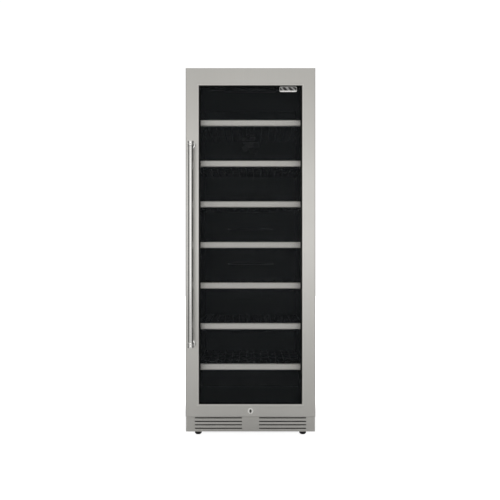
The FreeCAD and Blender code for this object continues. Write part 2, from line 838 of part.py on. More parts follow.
def door_inner_frame():
    """Moulded frame inside the pan, rebated for the sealed glass unit."""
    body = new_body("door_inner_frame")
    half, low, top = half_door - skin, door_bottom + skin, overall_height - skin
    ring(body, face + skin, door_back, (half, low, top), around_window(2))
    glass_half, glass_low, glass_top = around_window(pane_overlap + clearance)
    pocket(
        body,
        "XZ",
        face + skin,
        glass_back,
        lambda front: rectangle(front, (-glass_half, glass_half), (glass_low, glass_top)),
    )
    hinge_notch(body, 2, face + skin)
    lock_hole(body, face + skin, door_back)
    pin_hole(body, low, low + bushing_length, bushing_radius)
    pin_hole(body, notch_low - bushing_length, notch_low, bushing_radius)
    return body


def glazing_trim():
    """Bevelled bead between the door's face and the glass."""
    body = new_body("glazing_trim")
    outer = around_window(pane_overlap)
    lip = around_window(trim_width)
    front = face + trim_step
    pad(body, "XZ", face + skin, pane_front, lambda view: rectangle(view, (-outer[0], outer[0]), outer[1:]))
    pad(body, "XZ", front, face + skin, lambda view: rectangle(view, (-lip[0], lip[0]), lip[1:]))
    up = (window_low, window_high)
    pocket(body, "XZ", front, pane_front, lambda view: rectangle(view, (-window, window), up))

    def inner_front(edge):
        limits = edge.BoundBox
        return lies_at(edge, "Y", front) and max(abs(limits.XMin), abs(limits.XMax)) < number(window) + 0.1

    ease(body, "Chamfer", trim_bevel, inner_front)
    return body


def glass_pane(name, low):
    half, bottom, top = around_window(pane_overlap)
    return box(name, (-half, half), (low, low + pane), (bottom, top))


def glass_spacer():
    body = new_body("glass_spacer")
    outer = around_window(pane_overlap)
    inner = around_window(pane_overlap - spacer_width)
    ring(body, pane_front + pane, inner_pane_front, outer, inner)
    return body


def door_gasket():
    body = new_body("door_gasket")
    inner = (half_cavity + gasket_inset, floor_height - gasket_inset, ceiling + gasket_inset)
    outer = (inner[0] + gasket_width, inner[1] - gasket_width, inner[2] + gasket_width)
    ring(body, door_back, cabinet_front - clearance, outer, inner)
    ease(body, "Fillet", gasket_ease, lambda edge: lies_at(edge, "Y", cabinet_front - clearance))
    return body


def handle_bar():
    body = new_body("handle_bar")
    low, high = bar_low + cap_length, bar_high - cap_length
    pad(body, "XY", low, high, lambda plan: circle(plan, (-bar_from_centre, bar_y), bar_radius))
    return body


def handle_end_caps():
    """Turned caps over both ends of the bar, with eased rims."""
    caps = []
    cap_ease = 2.0
    for name, low in (("low", bar_low), ("high", bar_high - cap_length)):
        cap = rod(f"handle_cap_{name}", "z", (-bar_from_centre, bar_y, low), cap_length, cap_radius)
        eased = document.addObject("Part::Fillet", f"handle_cap_{name}_eased")
        eased.Base = cap
        document.recompute()
        edges = enumerate(cap.Shape.Edges)
        rims = [index + 1 for index, edge in edges if edge.Curve.TypeId == "Part::GeomCircle"]
        eased.Edges = [(index, cap_ease, cap_ease) for index in rims]
        caps.append(eased)
    return group("handle_end_caps", caps)


def handle_posts():
    """Standoffs from the caps to the door face, each with a round foot."""
    posts = []
    for name, middle in (("low", bar_low + cap_length / 2), ("high", bar_high - cap_length / 2)):
        seat_low = (-bar_from_centre, bar_y, middle - cap_length)
        seat = rod(f"handle_post_{name}_seat", "z", seat_low, 2 * cap_length, cap_radius)
        axis_start = (-bar_from_centre, bar_y, middle)
        stem = rod(f"handle_post_{name}_stem", "y", axis_start, face - bar_y, post_radius)
        foot = document.addObject("Part::Cone", f"handle_post_{name}_foot")
        foot.Placement = FreeCAD.Placement(VECTOR(), TURNS["y"])
        bind(foot, Radius1=post_radius, Radius2=neck_radius, Height=2 * flange_thickness)
        low = face - 3 * flange_thickness
        bind(foot, Placement__Base__x=-bar_from_centre, Placement__Base__y=low, Placement__Base__z=middle)
        disc_start = (-bar_from_centre, face - flange_thickness, middle)
        disc = rod(f"handle_post_{name}_disc", "y", disc_start, flange_thickness, flange_radius)
        whole = fuse(f"handle_post_{name}_whole", [stem, foot, disc])
        posts.append(cut(f"handle_post_{name}", whole, seat))
    return group("handle_posts", posts)


def badge_plate():
    """Blank plate with a raised rim, on the glass."""
    body = new_body("badge_plate")
    right = window - badge_side_gap
    top = window_high - badge_top_gap
    left, bottom = right - badge_width, top - badge_height
    front = pane_front - badge_thickness
    pad(body, "XZ", front, pane_front, lambda view: rectangle(view, (left, right), (bottom, top)))
    rim = badge_rim
    pocket(
        body,
        "XZ",
        front,
        front + badge_thickness / 2,
        lambda view: rectangle(view, (left + rim, right - rim), (bottom + rim, top - rim)),
    )
    return body


def lock_bezel():
    """Ring on the door face and the barrel that goes through the rail."""
    body = new_body("lock_bezel")
    bore = lock_core_radius + bearing_play
    edge = 1.5
    points = [
        (bore, face - lock_proud),
        (lock_ring_radius - edge, face - lock_proud),
        (lock_ring_radius, face - lock_proud + edge),
        (lock_ring_radius, face),
        (lock_barrel_radius, face),
        (lock_barrel_radius, door_back),
        (bore, door_back),
    ]
    revolve(body, points, plane="XY")
    bind(body, Placement__Base__z=lock_height)
    return body


def lock_core():
    """Turning plug with its key slot, the shaft behind it and the cam that hooks the front frame."""
    body = new_body("lock_core")
    plug_front = face - lock_proud + plug_recess
    plug_back = door_back - 6
    cam_front = cabinet_front + frame_sheet + cam_space
    points = [
        (Size(0), plug_front),
        (lock_core_radius, plug_front),
        (lock_core_radius, plug_back),
        (lock_shaft_radius, plug_back),
        (lock_shaft_radius, cam_front + cam_thickness),
        (Size(0), cam_front + cam_thickness),
    ]
    revolve(body, points, plane="XY")
    half = cam_width / 2
    low = half - cam_length
    cam_back = cam_front + cam_thickness
    pad(body, "XZ", cam_front, cam_back, lambda front: rectangle(front, (-half, half), (low, half)))
    wide, tall = key_slot_width / 2, key_slot_length / 2
    bottom = plug_front + key_slot_depth
    pocket(body, "XZ", plug_front, bottom, lambda front: rectangle(front, (-wide, wide), (-tall, tall)))
    bind(body, Placement__Base__z=lock_height)
    return body


def hinge_bushings():
    bushings = []
    low = door_bottom + skin
    high = notch_low - bushing_length
    for name, start in (("low", low), ("high", high)):
        sleeve = rod(f"bushing_{name}_sleeve", "z", (pin_x, pin_y, start), bushing_length, bushing_radius)
        bore_start = (pin_x, pin_y, start - 1)
        bore = rod(f"bushing_{name}_bore", "z", bore_start, bushing_length + 2, pin_radius + bearing_play)
        bushings.append(cut(f"bushing_{name}", sleeve, bore))
    return group("hinge_bushings", bushings)


# ---- Cold side ----


def rear_air_duct():
    """Shallow cover over the evaporator, with the fan's opening and outlet slots."""
    body = new_body("rear_air_duct")
    half, low, top = duct_half_width, duct_bottom, duct_top
    pad(body, "XZ", duct_front, cavity_back, lambda view: rectangle(view, (-half, half), (low, top)))
    inside = half - duct_sheet
    plate = duct_front + duct_sheet
    up = (low + duct_sheet, top - duct_sheet)
    pocket(body, "XZ", plate, cavity_back, lambda view: rectangle(view, (-inside, inside), up))
    throat = cool_fan_radius + throat_gap
    pocket(body, "XZ", duct_front, plate, lambda view: circle(view, (Size(0), cool_fan_height), throat))
    across = (-duct_slot_half, duct_slot_half)
    first = duct_bottom + duct_slot_lift
    cutter = pocket(body, "XZ", duct_front, plate, lambda view: slot(view, across, first, duct_slot_height))
    repeat(body, cutter, "V_Axis", duct_slot_pitch, duct_slots)
    return body


def evaporator():
    """Aluminium plate with the refrigerant tube winding over it."""
    low = duct_front + duct_sheet + coil_space
    plate_low = low + 2 * coil_radius - 1
    height = coil_pitch * (coil_turns - 1)
    plate = box(
        "evaporator_plate",
        (-(coil_half_width + coil_margin), coil_half_width + coil_margin),
        (plate_low, plate_low + coil_plate),
        (coil_bottom - coil_margin, coil_bottom + height + coil_margin),
    )
    runs = []
    reach = coil_half_width - coil_pitch / 2
    centre = low + coil_radius
    for turn in range(coil_turns):
        level = coil_bottom + turn * coil_pitch
        runs.append(rod(f"evaporator_run_{turn}", "x", (-reach, centre, level), 2 * reach, coil_radius))
        if turn < coil_turns - 1:
            bend = document.addObject("Part::Torus", f"evaporator_bend_{turn}")
            bend.Angle3 = 180
            side = 1 if turn % 2 == 0 else -1
            tilt = FreeCAD.Rotation(VECTOR(1, 0, 0), 90)
            spin = FreeCAD.Rotation(VECTOR(0, 1, 0), 90 * side)
            bend.Placement = FreeCAD.Placement(VECTOR(), spin.multiply(tilt))
            bind(bend, Radius1=coil_pitch / 2, Radius2=coil_radius)
            bind(bend, Placement__Base__x=side * reach, Placement__Base__y=centre)
            bind(bend, Placement__Base__z=level + coil_pitch / 2)
            runs.append(bend)
    return fuse("evaporator", [plate] + runs)


def fan(name, radius, width):
    """Hub with pitched blades, turning about the body's own Y axis, centred on it."""
    body = new_body(name)
    hub = radius * 0.32
    half = width / 2
    pad(body, "XZ", -half, half, lambda view: circle(view, (Size(0), Size(0)), hub))
    thick = blade_sheet / 2
    chord = radius * 0.3
    points = [
        (-half, -chord - thick),
        (-half, -chord + thick),
        (half, chord + thick),
        (half, chord - thick),
    ]
    blade = pad(body, "YZ", hub - 2, radius, lambda side: outline(side, points))
    pattern = body.newObject("PartDesign::PolarPattern", f"{name}_blades")
    pattern.Originals = [blade]
    axis = [item for item in body.Origin.OriginFeatures if item.Role == "Y_Axis"][0]
    pattern.Axis = (axis, [""])
    pattern.Angle = 360
    pattern.Occurrences = fan_blades
    body.Tip = pattern
    bore = shaft_radius + bearing_play
    pocket(body, "XZ", half - shaft_grip - 1, half, lambda view: circle(view, (Size(0), Size(0)), bore))
    return body


cool_fan_y = duct_front + duct_sheet + cool_fan_width / 2 + 1


def evaporator_fan():
    body = fan("evaporator_fan", cool_fan_radius, cool_fan_width)
    return bind(body, Placement__Base__y=cool_fan_y, Placement__Base__z=cool_fan_height)


def evaporator_fan_motor():
    """Motor can on the back wall, its shaft reaching into the fan's hub."""
    start = cool_fan_y + cool_fan_width / 2 + clearance
    can_start = (Size(0), start, cool_fan_height)
    shaft_start = (Size(0), start - shaft_grip, cool_fan_height)
    can = rod("evaporator_motor_can", "y", can_start, cavity_back - start, motor_radius)
    shaft = rod("evaporator_motor_shaft", "y", shaft_start, shaft_grip + 1, shaft_radius)
    return fuse("evaporator_fan_motor", [can, shaft])


def control_housing():
    """Control box under the ceiling with its dark display face."""
    body = new_body("control_housing")
    low = cabinet_front + control_setback
    half = control_half_width
    bottom = ceiling - control_height
    profile = [
        (low, bottom + control_bevel),
        (low + control_bevel, bottom),
        (low + control_depth, bottom),
        (low + control_depth, ceiling),
        (low, ceiling),
    ]
    pad(body, "YZ", -half, half, lambda side: outline(side, profile))
    across = (control_rim - half, half - control_rim)
    up = (bottom + control_bevel + 2, ceiling - 3)
    pocket(body, "XZ", low, low + 0.8, lambda view: rectangle(view, across, up))
    return body


def led_light_bar():
    """Light bar across the ceiling behind the control box."""
    low = cabinet_front + control_setback + control_depth + 6
    body = new_body("led_light_bar")
    half = lamp_half_length
    bottom = ceiling - lamp_height
    profile = [
        (low, ceiling),
        (low, bottom + lamp_height / 3),
        (low + lamp_edge, bottom),
        (low + lamp_depth - lamp_edge, bottom),
        (low + lamp_depth, ceiling),
    ]
    pad(body, "YZ", -half, half, lambda side: outline(side, profile))
    return body


# ---- Machine room ----

room_floor = cabinet_bottom + base_sheet
room_middle = machine_front + machine_depth / 2
compressor_base = room_floor + compressor_lift + compressor_plate


def compressor():
    """Sealed can on its foot plate and four grommets."""
    body = new_body("compressor")
    radius, top = compressor_radius, compressor_height
    points = [
        (Size(0), Size(0)),
        (radius * 0.8, Size(0)),
        (radius, Size(14)),
        (radius, top - 34),
        (radius * 0.82, top - 10),
        (radius * 0.4, top),
        (Size(0), top),
    ]
    revolve(body, points)
    foot = radius + 2 * grommet_radius
    narrow = radius * 0.5
    plate = -compressor_plate
    pad(body, "XY", plate, Size(0), lambda plan: rectangle(plan, (-foot, foot), (-narrow, narrow)))
    reach, wide = foot - grommet_radius - 2, narrow - grommet_radius - 1
    for along, across in ((-1, -1), (1, -1), (1, 1), (-1, 1)):
        place = (along * reach, across * wide)
        pad(body, "XY", plate - compressor_lift, plate, lambda plan: circle(plan, place, grommet_radius))
    bind(body, Placement__Base__x=-compressor_left, Placement__Base__y=room_middle)
    return bind(body, Placement__Base__z=compressor_base)


def condenser():
    """Finned block: upright fins on lying tubes, standing on a shoe."""
    low = room_middle - condenser_depth / 2
    across = (condenser_left, condenser_left + condenser_width)
    bottom = room_floor + condenser_shoe
    fins = []
    for index in range(fin_count):
        y = low + index * (condenser_depth - fin_sheet) / (fin_count - 1)
        up = (bottom, bottom + condenser_height)
        fins.append(box(f"condenser_fin_{index}", across, (y, y + fin_sheet), up))
    tubes = []
    for row in range(tube_rows):
        for column in range(2):
            x = condenser_left + condenser_width * (0.3 + 0.4 * column)
            z = bottom + condenser_height * (0.14 + 0.24 * row)
            name = f"condenser_tube_{row}_{column}"
            tubes.append(rod(name, "y", (x, low, z), condenser_depth, condenser_tube))
    shoe = box("condenser_base", across, (low, low + condenser_depth), (room_floor, bottom))
    return fuse("condenser", fins + tubes + [shoe])


warm_fan_x = condenser_left - 8 - fan_frame / 2
warm_fan_z = room_floor + condenser_shoe + condenser_height / 2


def condenser_fan():
    body = fan("condenser_fan", warm_fan_radius, warm_fan_width)
    body.Placement = FreeCAD.Placement(VECTOR(), FreeCAD.Rotation(VECTOR(0, 0, 1), 90))
    bind(body, Placement__Base__x=warm_fan_x + warm_fan_shift, Placement__Base__y=room_middle)
    return bind(body, Placement__Base__z=warm_fan_z)


def condenser_fan_frame():
    """Square shroud, motor on cross arms and the motor's shaft."""
    half = warm_fan_radius + shroud_gap + shroud_wall
    low, high = warm_fan_x - fan_frame / 2, warm_fan_x + fan_frame / 2

    def about(middle, reach):
        return middle - reach, middle + reach

    shell = box("fan_shell", (low, high), about(room_middle, half), about(warm_fan_z, half))
    throat_start = (low - 1, room_middle, warm_fan_z)
    throat = rod("fan_throat", "x", throat_start, fan_frame + 2, warm_fan_radius + shroud_gap)
    ring_shell = cut("fan_ring", shell, throat)
    wide, reach = arm_width / 2, half - 2
    arm = (low, low + 3)
    arms = [
        box("fan_arm_flat", arm, about(room_middle, reach), about(warm_fan_z, wide)),
        box("fan_arm_up", arm, about(room_middle, wide), about(warm_fan_z, reach)),
    ]
    axis_start = (low, room_middle, warm_fan_z)
    can = warm_fan_x + warm_fan_shift - warm_fan_width / 2 - warm_fan_gap - low
    motor = rod("fan_motor", "x", axis_start, can, motor_radius)
    shaft = rod("fan_shaft", "x", axis_start, can + warm_fan_gap + shaft_grip, shaft_radius)
    foot = box("fan_foot", (low, high), about(room_middle, half), (room_floor, warm_fan_z - half))
    return fuse("condenser_fan_frame", [ring_shell, motor, shaft, foot] + arms)


def pipe_run(name, points):
    """Copper pipe along straight runs joined by tangent arcs."""
    corners = [VECTOR(*[number(value) for value in point]) for point in points]
    bend = number(pipe_bend)
    edges = []
    start = corners[0]
    for before, corner, after in zip(corners, corners[1:], corners[2:]):
        arriving = (corner - before).normalize()
        leaving = (after - corner).normalize()
        near, far = corner - arriving * bend, corner + leaving * bend
        middle = corner + (leaving - arriving) * bend * (1 - 0.5 ** 0.5)
        edges.append(Part.LineSegment(start, near).toShape())
        edges.append(Part.Arc(near, middle, far).toShape())
        start = far
    edges.append(Part.LineSegment(start, corners[-1]).toShape())
    path = Part.Wire(edges)
    section = Part.Wire([Part.Circle(corners[0], corners[1] - corners[0], number(pipe_radius)).toShape()])
    pipe = document.addObject("Part::Feature", name)
    pipe.Shape = path.makePipeShell([section], True, False)
    return pipe


def refrigerant_tubes():
    """Hot pipe from the compressor to the condenser, and the suction pipe up to the evaporator."""
    top = compressor_base + compressor_height
    x = -compressor_left
    high = top + 40
    target_x = condenser_left + condenser_width / 2
    condenser_top = room_floor + condenser_shoe + condenser_height
    front = room_middle - condenser_depth / 2 + 20
    side = compressor_radius * 0.3
    hot = pipe_run(
        "pipe_hot",
        [
            (x + side, room_middle, top),
            (x + side, room_middle, high),
            (target_x, room_middle, high),
            (target_x, front, high),
            (target_x, front, condenser_top),
        ],
    )
    cold = pipe_run(
        "pipe_cold",
        [
            (x - side, room_middle, top),
            (x - side, room_middle, high - 14),
            (x - side, back - 40, high - 14),
            (x - side, back - 40, machine_ceiling),
        ],
    )
    return group("refrigerant_tubes", [hot, cold])


def drain_tray():
    """Open pan that catches the defrost water, on the machine room floor."""
    body = new_body("drain_tray")
    low_x, high_x = -compressor_left + compressor_radius + 22, warm_fan_x - fan_frame / 2 - 8
    low_y, high_y = room_middle - tray_length / 2, room_middle + tray_length / 2
    top = room_floor + tray_height
    wall = tray_wall
    pad(body, "XY", room_floor, top, lambda plan: rectangle(plan, (low_x, high_x), (low_y, high_y)))
    pocket(
        body,
        "XY",
        room_floor + wall,
        top,
        lambda plan: rectangle(plan, (low_x + wall, high_x - wall), (low_y + wall, high_y - wall)),
    )
    return body


inlet_low = room_floor + inlet_lift


def machine_cover():
    """Louvred sheet over the machine room, with the cut-out for the power inlet."""
    body = new_body("machine_cover")
    low = back - panel
    half = half_cabinet - panel
    pad(body, "XZ", low, back, lambda view: rectangle(view, (-half, half), (room_floor, machine_ceiling)))
    left = inlet_from_centre - inlet_width / 2
    pocket(
        body,
        "XZ",
        low,
        back,
        lambda view: rectangle(view, (left, left + inlet_width), (inlet_low, inlet_low + inlet_height)),
    )
    level = room_floor + louvre_first
    for start in (-half + 40, 10):
        across = (start, start + louvre_length)
        cutter = pocket(body, "XZ", low, back, lambda view: slot(view, across, level, louvre_height))
        repeat(body, cutter, "V_Axis", louvre_pitch, louvre_rows)
    return body


def power_inlet():
    """Recessed inlet with three flat blades; no lead."""
    body = new_body("power_inlet")
    low = back - inlet_depth
    left, right = inlet_from_centre - inlet_width / 2, inlet_from_centre + inlet_width / 2
    high = inlet_low + inlet_height
    pad(body, "XZ", low, back, lambda view: rectangle(view, (left, right), (inlet_low, high)))
    wall = inlet_wall
    drawing = sketch(body, "XZ", back)
    rectangle(drawing, (left + wall, right - wall), (inlet_low + wall, high - wall))
    recess = body.newObject("PartDesign::Pocket", "power_inlet_recess")
    recess.Profile = drawing
    recess.Reversed = True
    bind(recess, Length=inlet_depth - wall)
    middle_z = inlet_low + inlet_height / 2
    for offset, rise in ((-blade_pitch, -2), (0, 4), (blade_pitch, -2)):
        x = inlet_from_centre + offset
        z = middle_z + rise
        pad(body, "XZ", low + wall, back - 5, lambda view: rectangle(view, (x - 1, x + 1), (z - 3, z + 3)))
    return body


# ---- Feet ----


def foot(name, x, y):
    """Levelling foot: pad with an eased rim and its threaded stem."""
    body = new_body(f"foot_{name}")
    points = [
        (Size(0), Size(0)),
        (foot_radius - foot_bevel, Size(0)),
        (foot_radius, foot_bevel),
        (foot_radius, foot_height - foot_ease),
        (foot_radius - foot_ease, foot_height),
        (foot_stem_radius, foot_height),
        (foot_stem_radius, foot_stem_length),
        (Size(0), foot_stem_length),
    ]
    revolve(body, points)
    return bind(body, Placement__Base__x=x, Placement__Base__y=y)


# ---- The whole object ----

subparts = [
    side_panel("left", -1),
    side_panel("right", 1),
    top_panel(),
    rear_panel(),
    base_pan(),
    inner_liner(),
    insulation_foam(),
    machine_bulkhead(),
    front_frame(),
    plinth_grille(),
    hinge_bracket_top(),
    hinge_bracket_bottom(),
    cabinet_screws(),
    shelf_rails(),
    door_skin(),
    door_inner_frame(),
    glazing_trim(),
    glass_pane("glass_outer", pane_front),
    glass_pane("glass_inner", inner_pane_front),
    glass_spacer(),
    door_gasket(),
    handle_bar(),
    handle_end_caps(),
    handle_posts(),
    badge_plate(),
    lock_bezel(),
    lock_core(),
    hinge_bushings(),
    rear_air_duct(),
    evaporator(),
    evaporator_fan(),
    evaporator_fan_motor(),
    control_housing(),
    led_light_bar(),
    compressor(),
    condenser(),
    condenser_fan(),
    condenser_fan_frame(),
    refrigerant_tubes(),
    drain_tray(),
    machine_cover(),
    power_inlet(),
]
for place in foot_places():
    subparts.append(foot(*place))
for shelf in range(shelf_count):
    subparts.append(shelf_rack(shelf))
    subparts.append(shelf_trim(shelf))

document.recompute()

for item in document.Objects:
    if "Invalid" in item.State or "Error" in item.State:
        raise RuntimeError(f"{item.Name} failed: {item.State}")
    if item.TypeId in ("PartDesign::Pocket", "PartDesign::Groove"):
        if item.Shape.Volume >= item.BaseFeature.Shape.Volume - 1e-6:
            raise RuntimeError(f"{item.Name} cuts nothing")

os.makedirs("parts", exist_ok=True)
for piece in subparts:
    piece.Label = piece.Name
    if piece.Shape.isNull() or not piece.Shape.isValid():
        raise RuntimeError(f"{piece.Label} has no valid shape")
for piece in subparts:
    piece.Shape.exportStep(f"parts/{piece.Label}.step")
    print(piece.Label, len(piece.Shape.Solids), round(piece.Shape.Volume / 1000, 1))
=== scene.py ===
import math

import bmesh
import bpy
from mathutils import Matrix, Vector


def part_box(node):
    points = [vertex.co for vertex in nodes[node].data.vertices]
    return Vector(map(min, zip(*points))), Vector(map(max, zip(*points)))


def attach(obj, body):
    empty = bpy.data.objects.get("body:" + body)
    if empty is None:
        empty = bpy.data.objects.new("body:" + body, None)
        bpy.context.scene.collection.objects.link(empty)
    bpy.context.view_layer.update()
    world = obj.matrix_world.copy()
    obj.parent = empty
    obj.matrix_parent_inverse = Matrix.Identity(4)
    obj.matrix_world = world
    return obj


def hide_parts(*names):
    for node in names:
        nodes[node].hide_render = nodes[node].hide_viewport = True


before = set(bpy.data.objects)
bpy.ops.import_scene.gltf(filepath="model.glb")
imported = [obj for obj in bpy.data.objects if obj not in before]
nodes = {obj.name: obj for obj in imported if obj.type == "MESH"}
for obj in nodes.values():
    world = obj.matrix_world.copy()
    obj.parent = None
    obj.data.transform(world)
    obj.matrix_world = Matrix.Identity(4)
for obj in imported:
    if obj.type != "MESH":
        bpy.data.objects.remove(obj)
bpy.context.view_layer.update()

print("frame loaded:", len(nodes), "nodes")

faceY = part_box("door_skin")[0].y  # front of the door


class Signal:  # one shader socket; arithmetic on it adds Math nodes
    def __init__(self, paint, socket):
        self.paint = paint
        self.socket = socket

    def maths(self, operation, *others):
        inputs = dict(enumerate((self,) + others))
        return self.paint.node("Math", {"operation": operation}, inputs)

    def __add__(self, other):
        return self.maths("ADD", other)

    __radd__ = __add__

    def __mul__(self, other):
        return self.maths("MULTIPLY", other)

    __rmul__ = __mul__

    def __sub__(self, other):
        return self.maths("SUBTRACT", other)

    def __rsub__(self, other):
        return self.paint.node("Math", {"operation": "SUBTRACT"}, {0: other, 1: self})

    def __truediv__(self, other):
        return self.maths("DIVIDE", other)

    def __abs__(self):
        return self.maths("ABSOLUTE")

    def larger(self, other):
        return self.maths("MAXIMUM", other)

    def between(self, low, high):  # 0 at low, 1 at high, clamped
        ends = {0: self, 1: low, 2: high, 3: 0.0, 4: 1.0}
        return self.paint.node("MapRange", {"clamp": True}, ends)


class NodeTree:  # adds nodes and fills their sockets
    def __init__(self, tree):
        self.tree = tree

    def node(self, kind, settings, inputs, output=0):
        made = self.tree.nodes.new("ShaderNode" + kind)
        for name, value in settings.items():
            setattr(made, name, value)
        for key, value in inputs.items():
            self.plug(made.inputs[key], value)
        return Signal(self, made.outputs[output])

    def plug(self, socket, value):
        if isinstance(value, Signal):
            self.tree.links.new(value.socket, socket)
        elif isinstance(value, tuple) and len(value) == 3 and socket.type == "RGBA":
            socket.default_value = (*value, 1.0)
        else:
            socket.default_value = value


class Paint(NodeTree):  # one material and the patterns that its finishes share
    def __init__(self, name, **constants):
        self.material = bpy.data.materials.new(name)
        self.material.use_nodes = True
        super().__init__(self.material.node_tree)
        self.shader = self.tree.nodes["Principled BSDF"]
        for socket, value in constants.items():
            self.shader.inputs[socket.replace("_", " ")].default_value = value
        self.place = self.node("TexCoord", {}, {}, 3)

    def stretched(self, scale):
        return self.node("VectorMath", {"operation": "MULTIPLY"}, {0: self.place, 1: scale})

    def noise(self, scale, detail=3.0, stretch=None, rough=0.5):
        where = self.place if stretch is None else self.stretched(stretch)
        inputs = {"Vector": where, "Scale": scale, "Detail": detail, "Roughness": rough}
        return self.node("TexNoise", {}, inputs)

    def cells(self, scale, output=0):
        return self.node("TexVoronoi", {}, {"Vector": self.place, "Scale": scale}, output)

    def wave(self, scale, **settings):
        return self.node("TexWave", settings, {"Vector": self.place, "Scale": scale})

    def axis(self, index):
        return self.node("SeparateXYZ", {}, {0: self.place}, index)

    def tint(self, factor, first, second):
        return self.node("Mix", {"data_type": "RGBA"}, {0: factor, 6: first, 7: second}, 2)

    def feed(self, socket, value):
        self.plug(self.shader.inputs[socket], value)
        return self

    def bump(self, height, depth, strength=1.0):
        inputs = {"Height": height, "Distance": depth, "Strength": strength}
        return self.feed("Normal", self.node("Bump", {}, inputs))


def shade(colour, amount):
    return tuple(min(1.0, channel * amount) for channel in colour)


brushed = {
    "colour": (0.62, 0.612, 0.59),
    "across": 1500.0,  # brush lines per metre across the grain
    "along": 7.0,
    "lineShare": 0.55,  # of the fine lines in the tone, the rest is the streaks'
    "streakStretch": 0.12,  # streaks against fine lines
    "lineDepth": 0.000012,
    "roughLow": 0.26,
    "roughHigh": 0.40,
}


def brushedSteel(name, grain, tone=1.0, rough=0.0):
    # stainless sheet brushed along one axis, with faint long streaks and handling haze
    paint = Paint(name, Metallic=1.0)
    stretch = [brushed["across"]] * 3
    stretch["xyz".index(grain)] = brushed["along"]
    lines = paint.noise(1.0, 4.0, tuple(stretch), 0.6)
    streaks = paint.noise(1.0, 2.0, tuple(part * brushed["streakStretch"] for part in stretch))
    haze = paint.noise(3.2, 3.0)
    colour = shade(brushed["colour"], tone)
    share = brushed["lineShare"]
    mixed = paint.tint(lines * share + streaks * (1 - share), shade(colour, 0.93), shade(colour, 1.06))
    paint.feed("Base Color", paint.tint(haze.between(0.35, 0.75), mixed, shade(colour, 0.97)))
    spread = brushed["roughHigh"] - brushed["roughLow"]
    lowest = brushed["roughLow"] + rough
    paint.feed("Roughness", lines * (spread * 0.6) + haze * (spread * 0.4) + lowest)
    return paint.bump(lines, brushed["lineDepth"], 0.5)


polished = {
    "colour": (0.86, 0.86, 0.85),
    "rough": 0.13,
    "turning": 2600.0,  # belt lines per metre along the tube
    "around": 30.0,
    "lineDepth": 0.000004,
}


def polishedTube(name, axis, tone=1.0):
    # bright tube with fine lines left by the polishing belt
    paint = Paint(name, Metallic=1.0)
    stretch = [polished["around"]] * 3
    stretch["xyz".index(axis)] = polished["turning"]
    lines = paint.noise(1.0, 3.0, tuple(stretch))
    smears = paint.noise(14.0, 3.0)
    colour = shade(polished["colour"], tone)
    paint.feed("Base Color", paint.tint(smears, shade(colour, 0.95), colour))
    paint.feed("Roughness", lines * 0.05 + smears * 0.06 + polished["rough"])
    return paint.bump(lines, polished["lineDepth"], 0.4)


def powderCoat(name, colour, rough=0.42, grain=900.0, shine=0.5):
    # fine orange-peel paint with slightly uneven gloss and patchy tone
    paint = Paint(name, Specular_IOR_Level=shine)
    peel = paint.noise(grain, 2.0)
    patches = paint.noise(5.0, 4.0)
    paint.feed("Base Color", paint.tint(patches, shade(colour, 0.85), shade(colour, 1.2)))
    paint.feed("Roughness", patches * 0.12 + peel * 0.08 + (rough - 0.1))
    return paint.bump(peel, 0.00003)


def mouldedPlastic(name, colour, rough=0.5, grain=1800.0, shine=0.5):
    # spark-eroded plastic: tiny pits, soft tone changes from the flow of the mould
    paint = Paint(name, Specular_IOR_Level=shine)
    pits = paint.cells(grain)
    flow = paint.noise(2.5, 2.0)
    paint.feed("Base Color", paint.tint(flow, shade(colour, 0.88), shade(colour, 1.12)))
    paint.feed("Roughness", flow * 0.1 + (rough - 0.05))
    return paint.bump(pits, 0.00002, 0.6)


def galvanised(name):
    # zinc-coated sheet with its crystal flakes
    paint = Paint(name, Metallic=1.0)
    flakes = paint.cells(90.0, 1)
    grey = paint.node("RGBToBW", {}, {0: flakes})
    stain = paint.noise(4.0, 4.0)
    clouded = grey * 0.7 + stain * 0.3
    paint.feed("Base Color", paint.tint(clouded, (0.34, 0.36, 0.38), (0.56, 0.58, 0.60)))
    paint.feed("Roughness", grey * 0.22 + 0.34)
    return paint.bump(grey, 0.00001, 0.3)


def rubber(name, colour, rough=0.72):
    paint = Paint(name)
    grain = paint.noise(1400.0, 3.0)
    bloom = paint.noise(18.0, 3.0)
    paint.feed("Base Color", paint.tint(bloom, colour, shade(colour, 1.7)))
    paint.feed("Roughness", bloom * 0.14 + rough)
    return paint.bump(grain, 0.00003, 0.6)


glazing = {
    "tint": 0.03,  # share of light stopped at each face of a pane
    "dustTint": 0.02,
    "shadeBandWidth": 0.0065,  # painted shade: dark band that shows inside the bead
    "shadeBandEdge": 0.0004,
    "overlap": 0.0135,  # glass hidden behind the bead
    "shadeBandColour": (0.0012, 0.0012, 0.0011),
    "glassColour": (0.072, 0.081, 0.088),
}


def doorGlass(name, shadeBand):
    # grey tinted pane; the outer one has an opaque dark band of painted shade round the view
    paint = Paint(name, IOR=1.2)
    dust = paint.noise(5.0, 4.0)
    paint.feed("Roughness", dust * 0.04 + 0.02)
    colour = glazing["glassColour"]
    if not shadeBand:
        paint.feed("Base Color", paint.tint(dust, colour, shade(colour, 1.5)))
        return paint.feed("Alpha", dust * glazing["dustTint"] + glazing["tint"])
    low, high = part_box("glazing_trim")
    margin = glazing["overlap"] + glazing["shadeBandWidth"]
    aside = abs(paint.axis(0)) - (high.x - margin)
    above = abs(paint.axis(2) - (low.z + high.z) / 2) - ((high.z - low.z) / 2 - margin)
    # painted shade: the band along the view's edge is dark and opaque, standing for the shade there
    shadeBorder = aside.larger(above).between(-glazing["shadeBandEdge"], glazing["shadeBandEdge"])
    paint.feed("Base Color", paint.tint(shadeBorder, colour, glazing["shadeBandColour"]))
    return paint.feed("Alpha", shadeBorder.larger(dust * glazing["dustTint"] + glazing["tint"]))


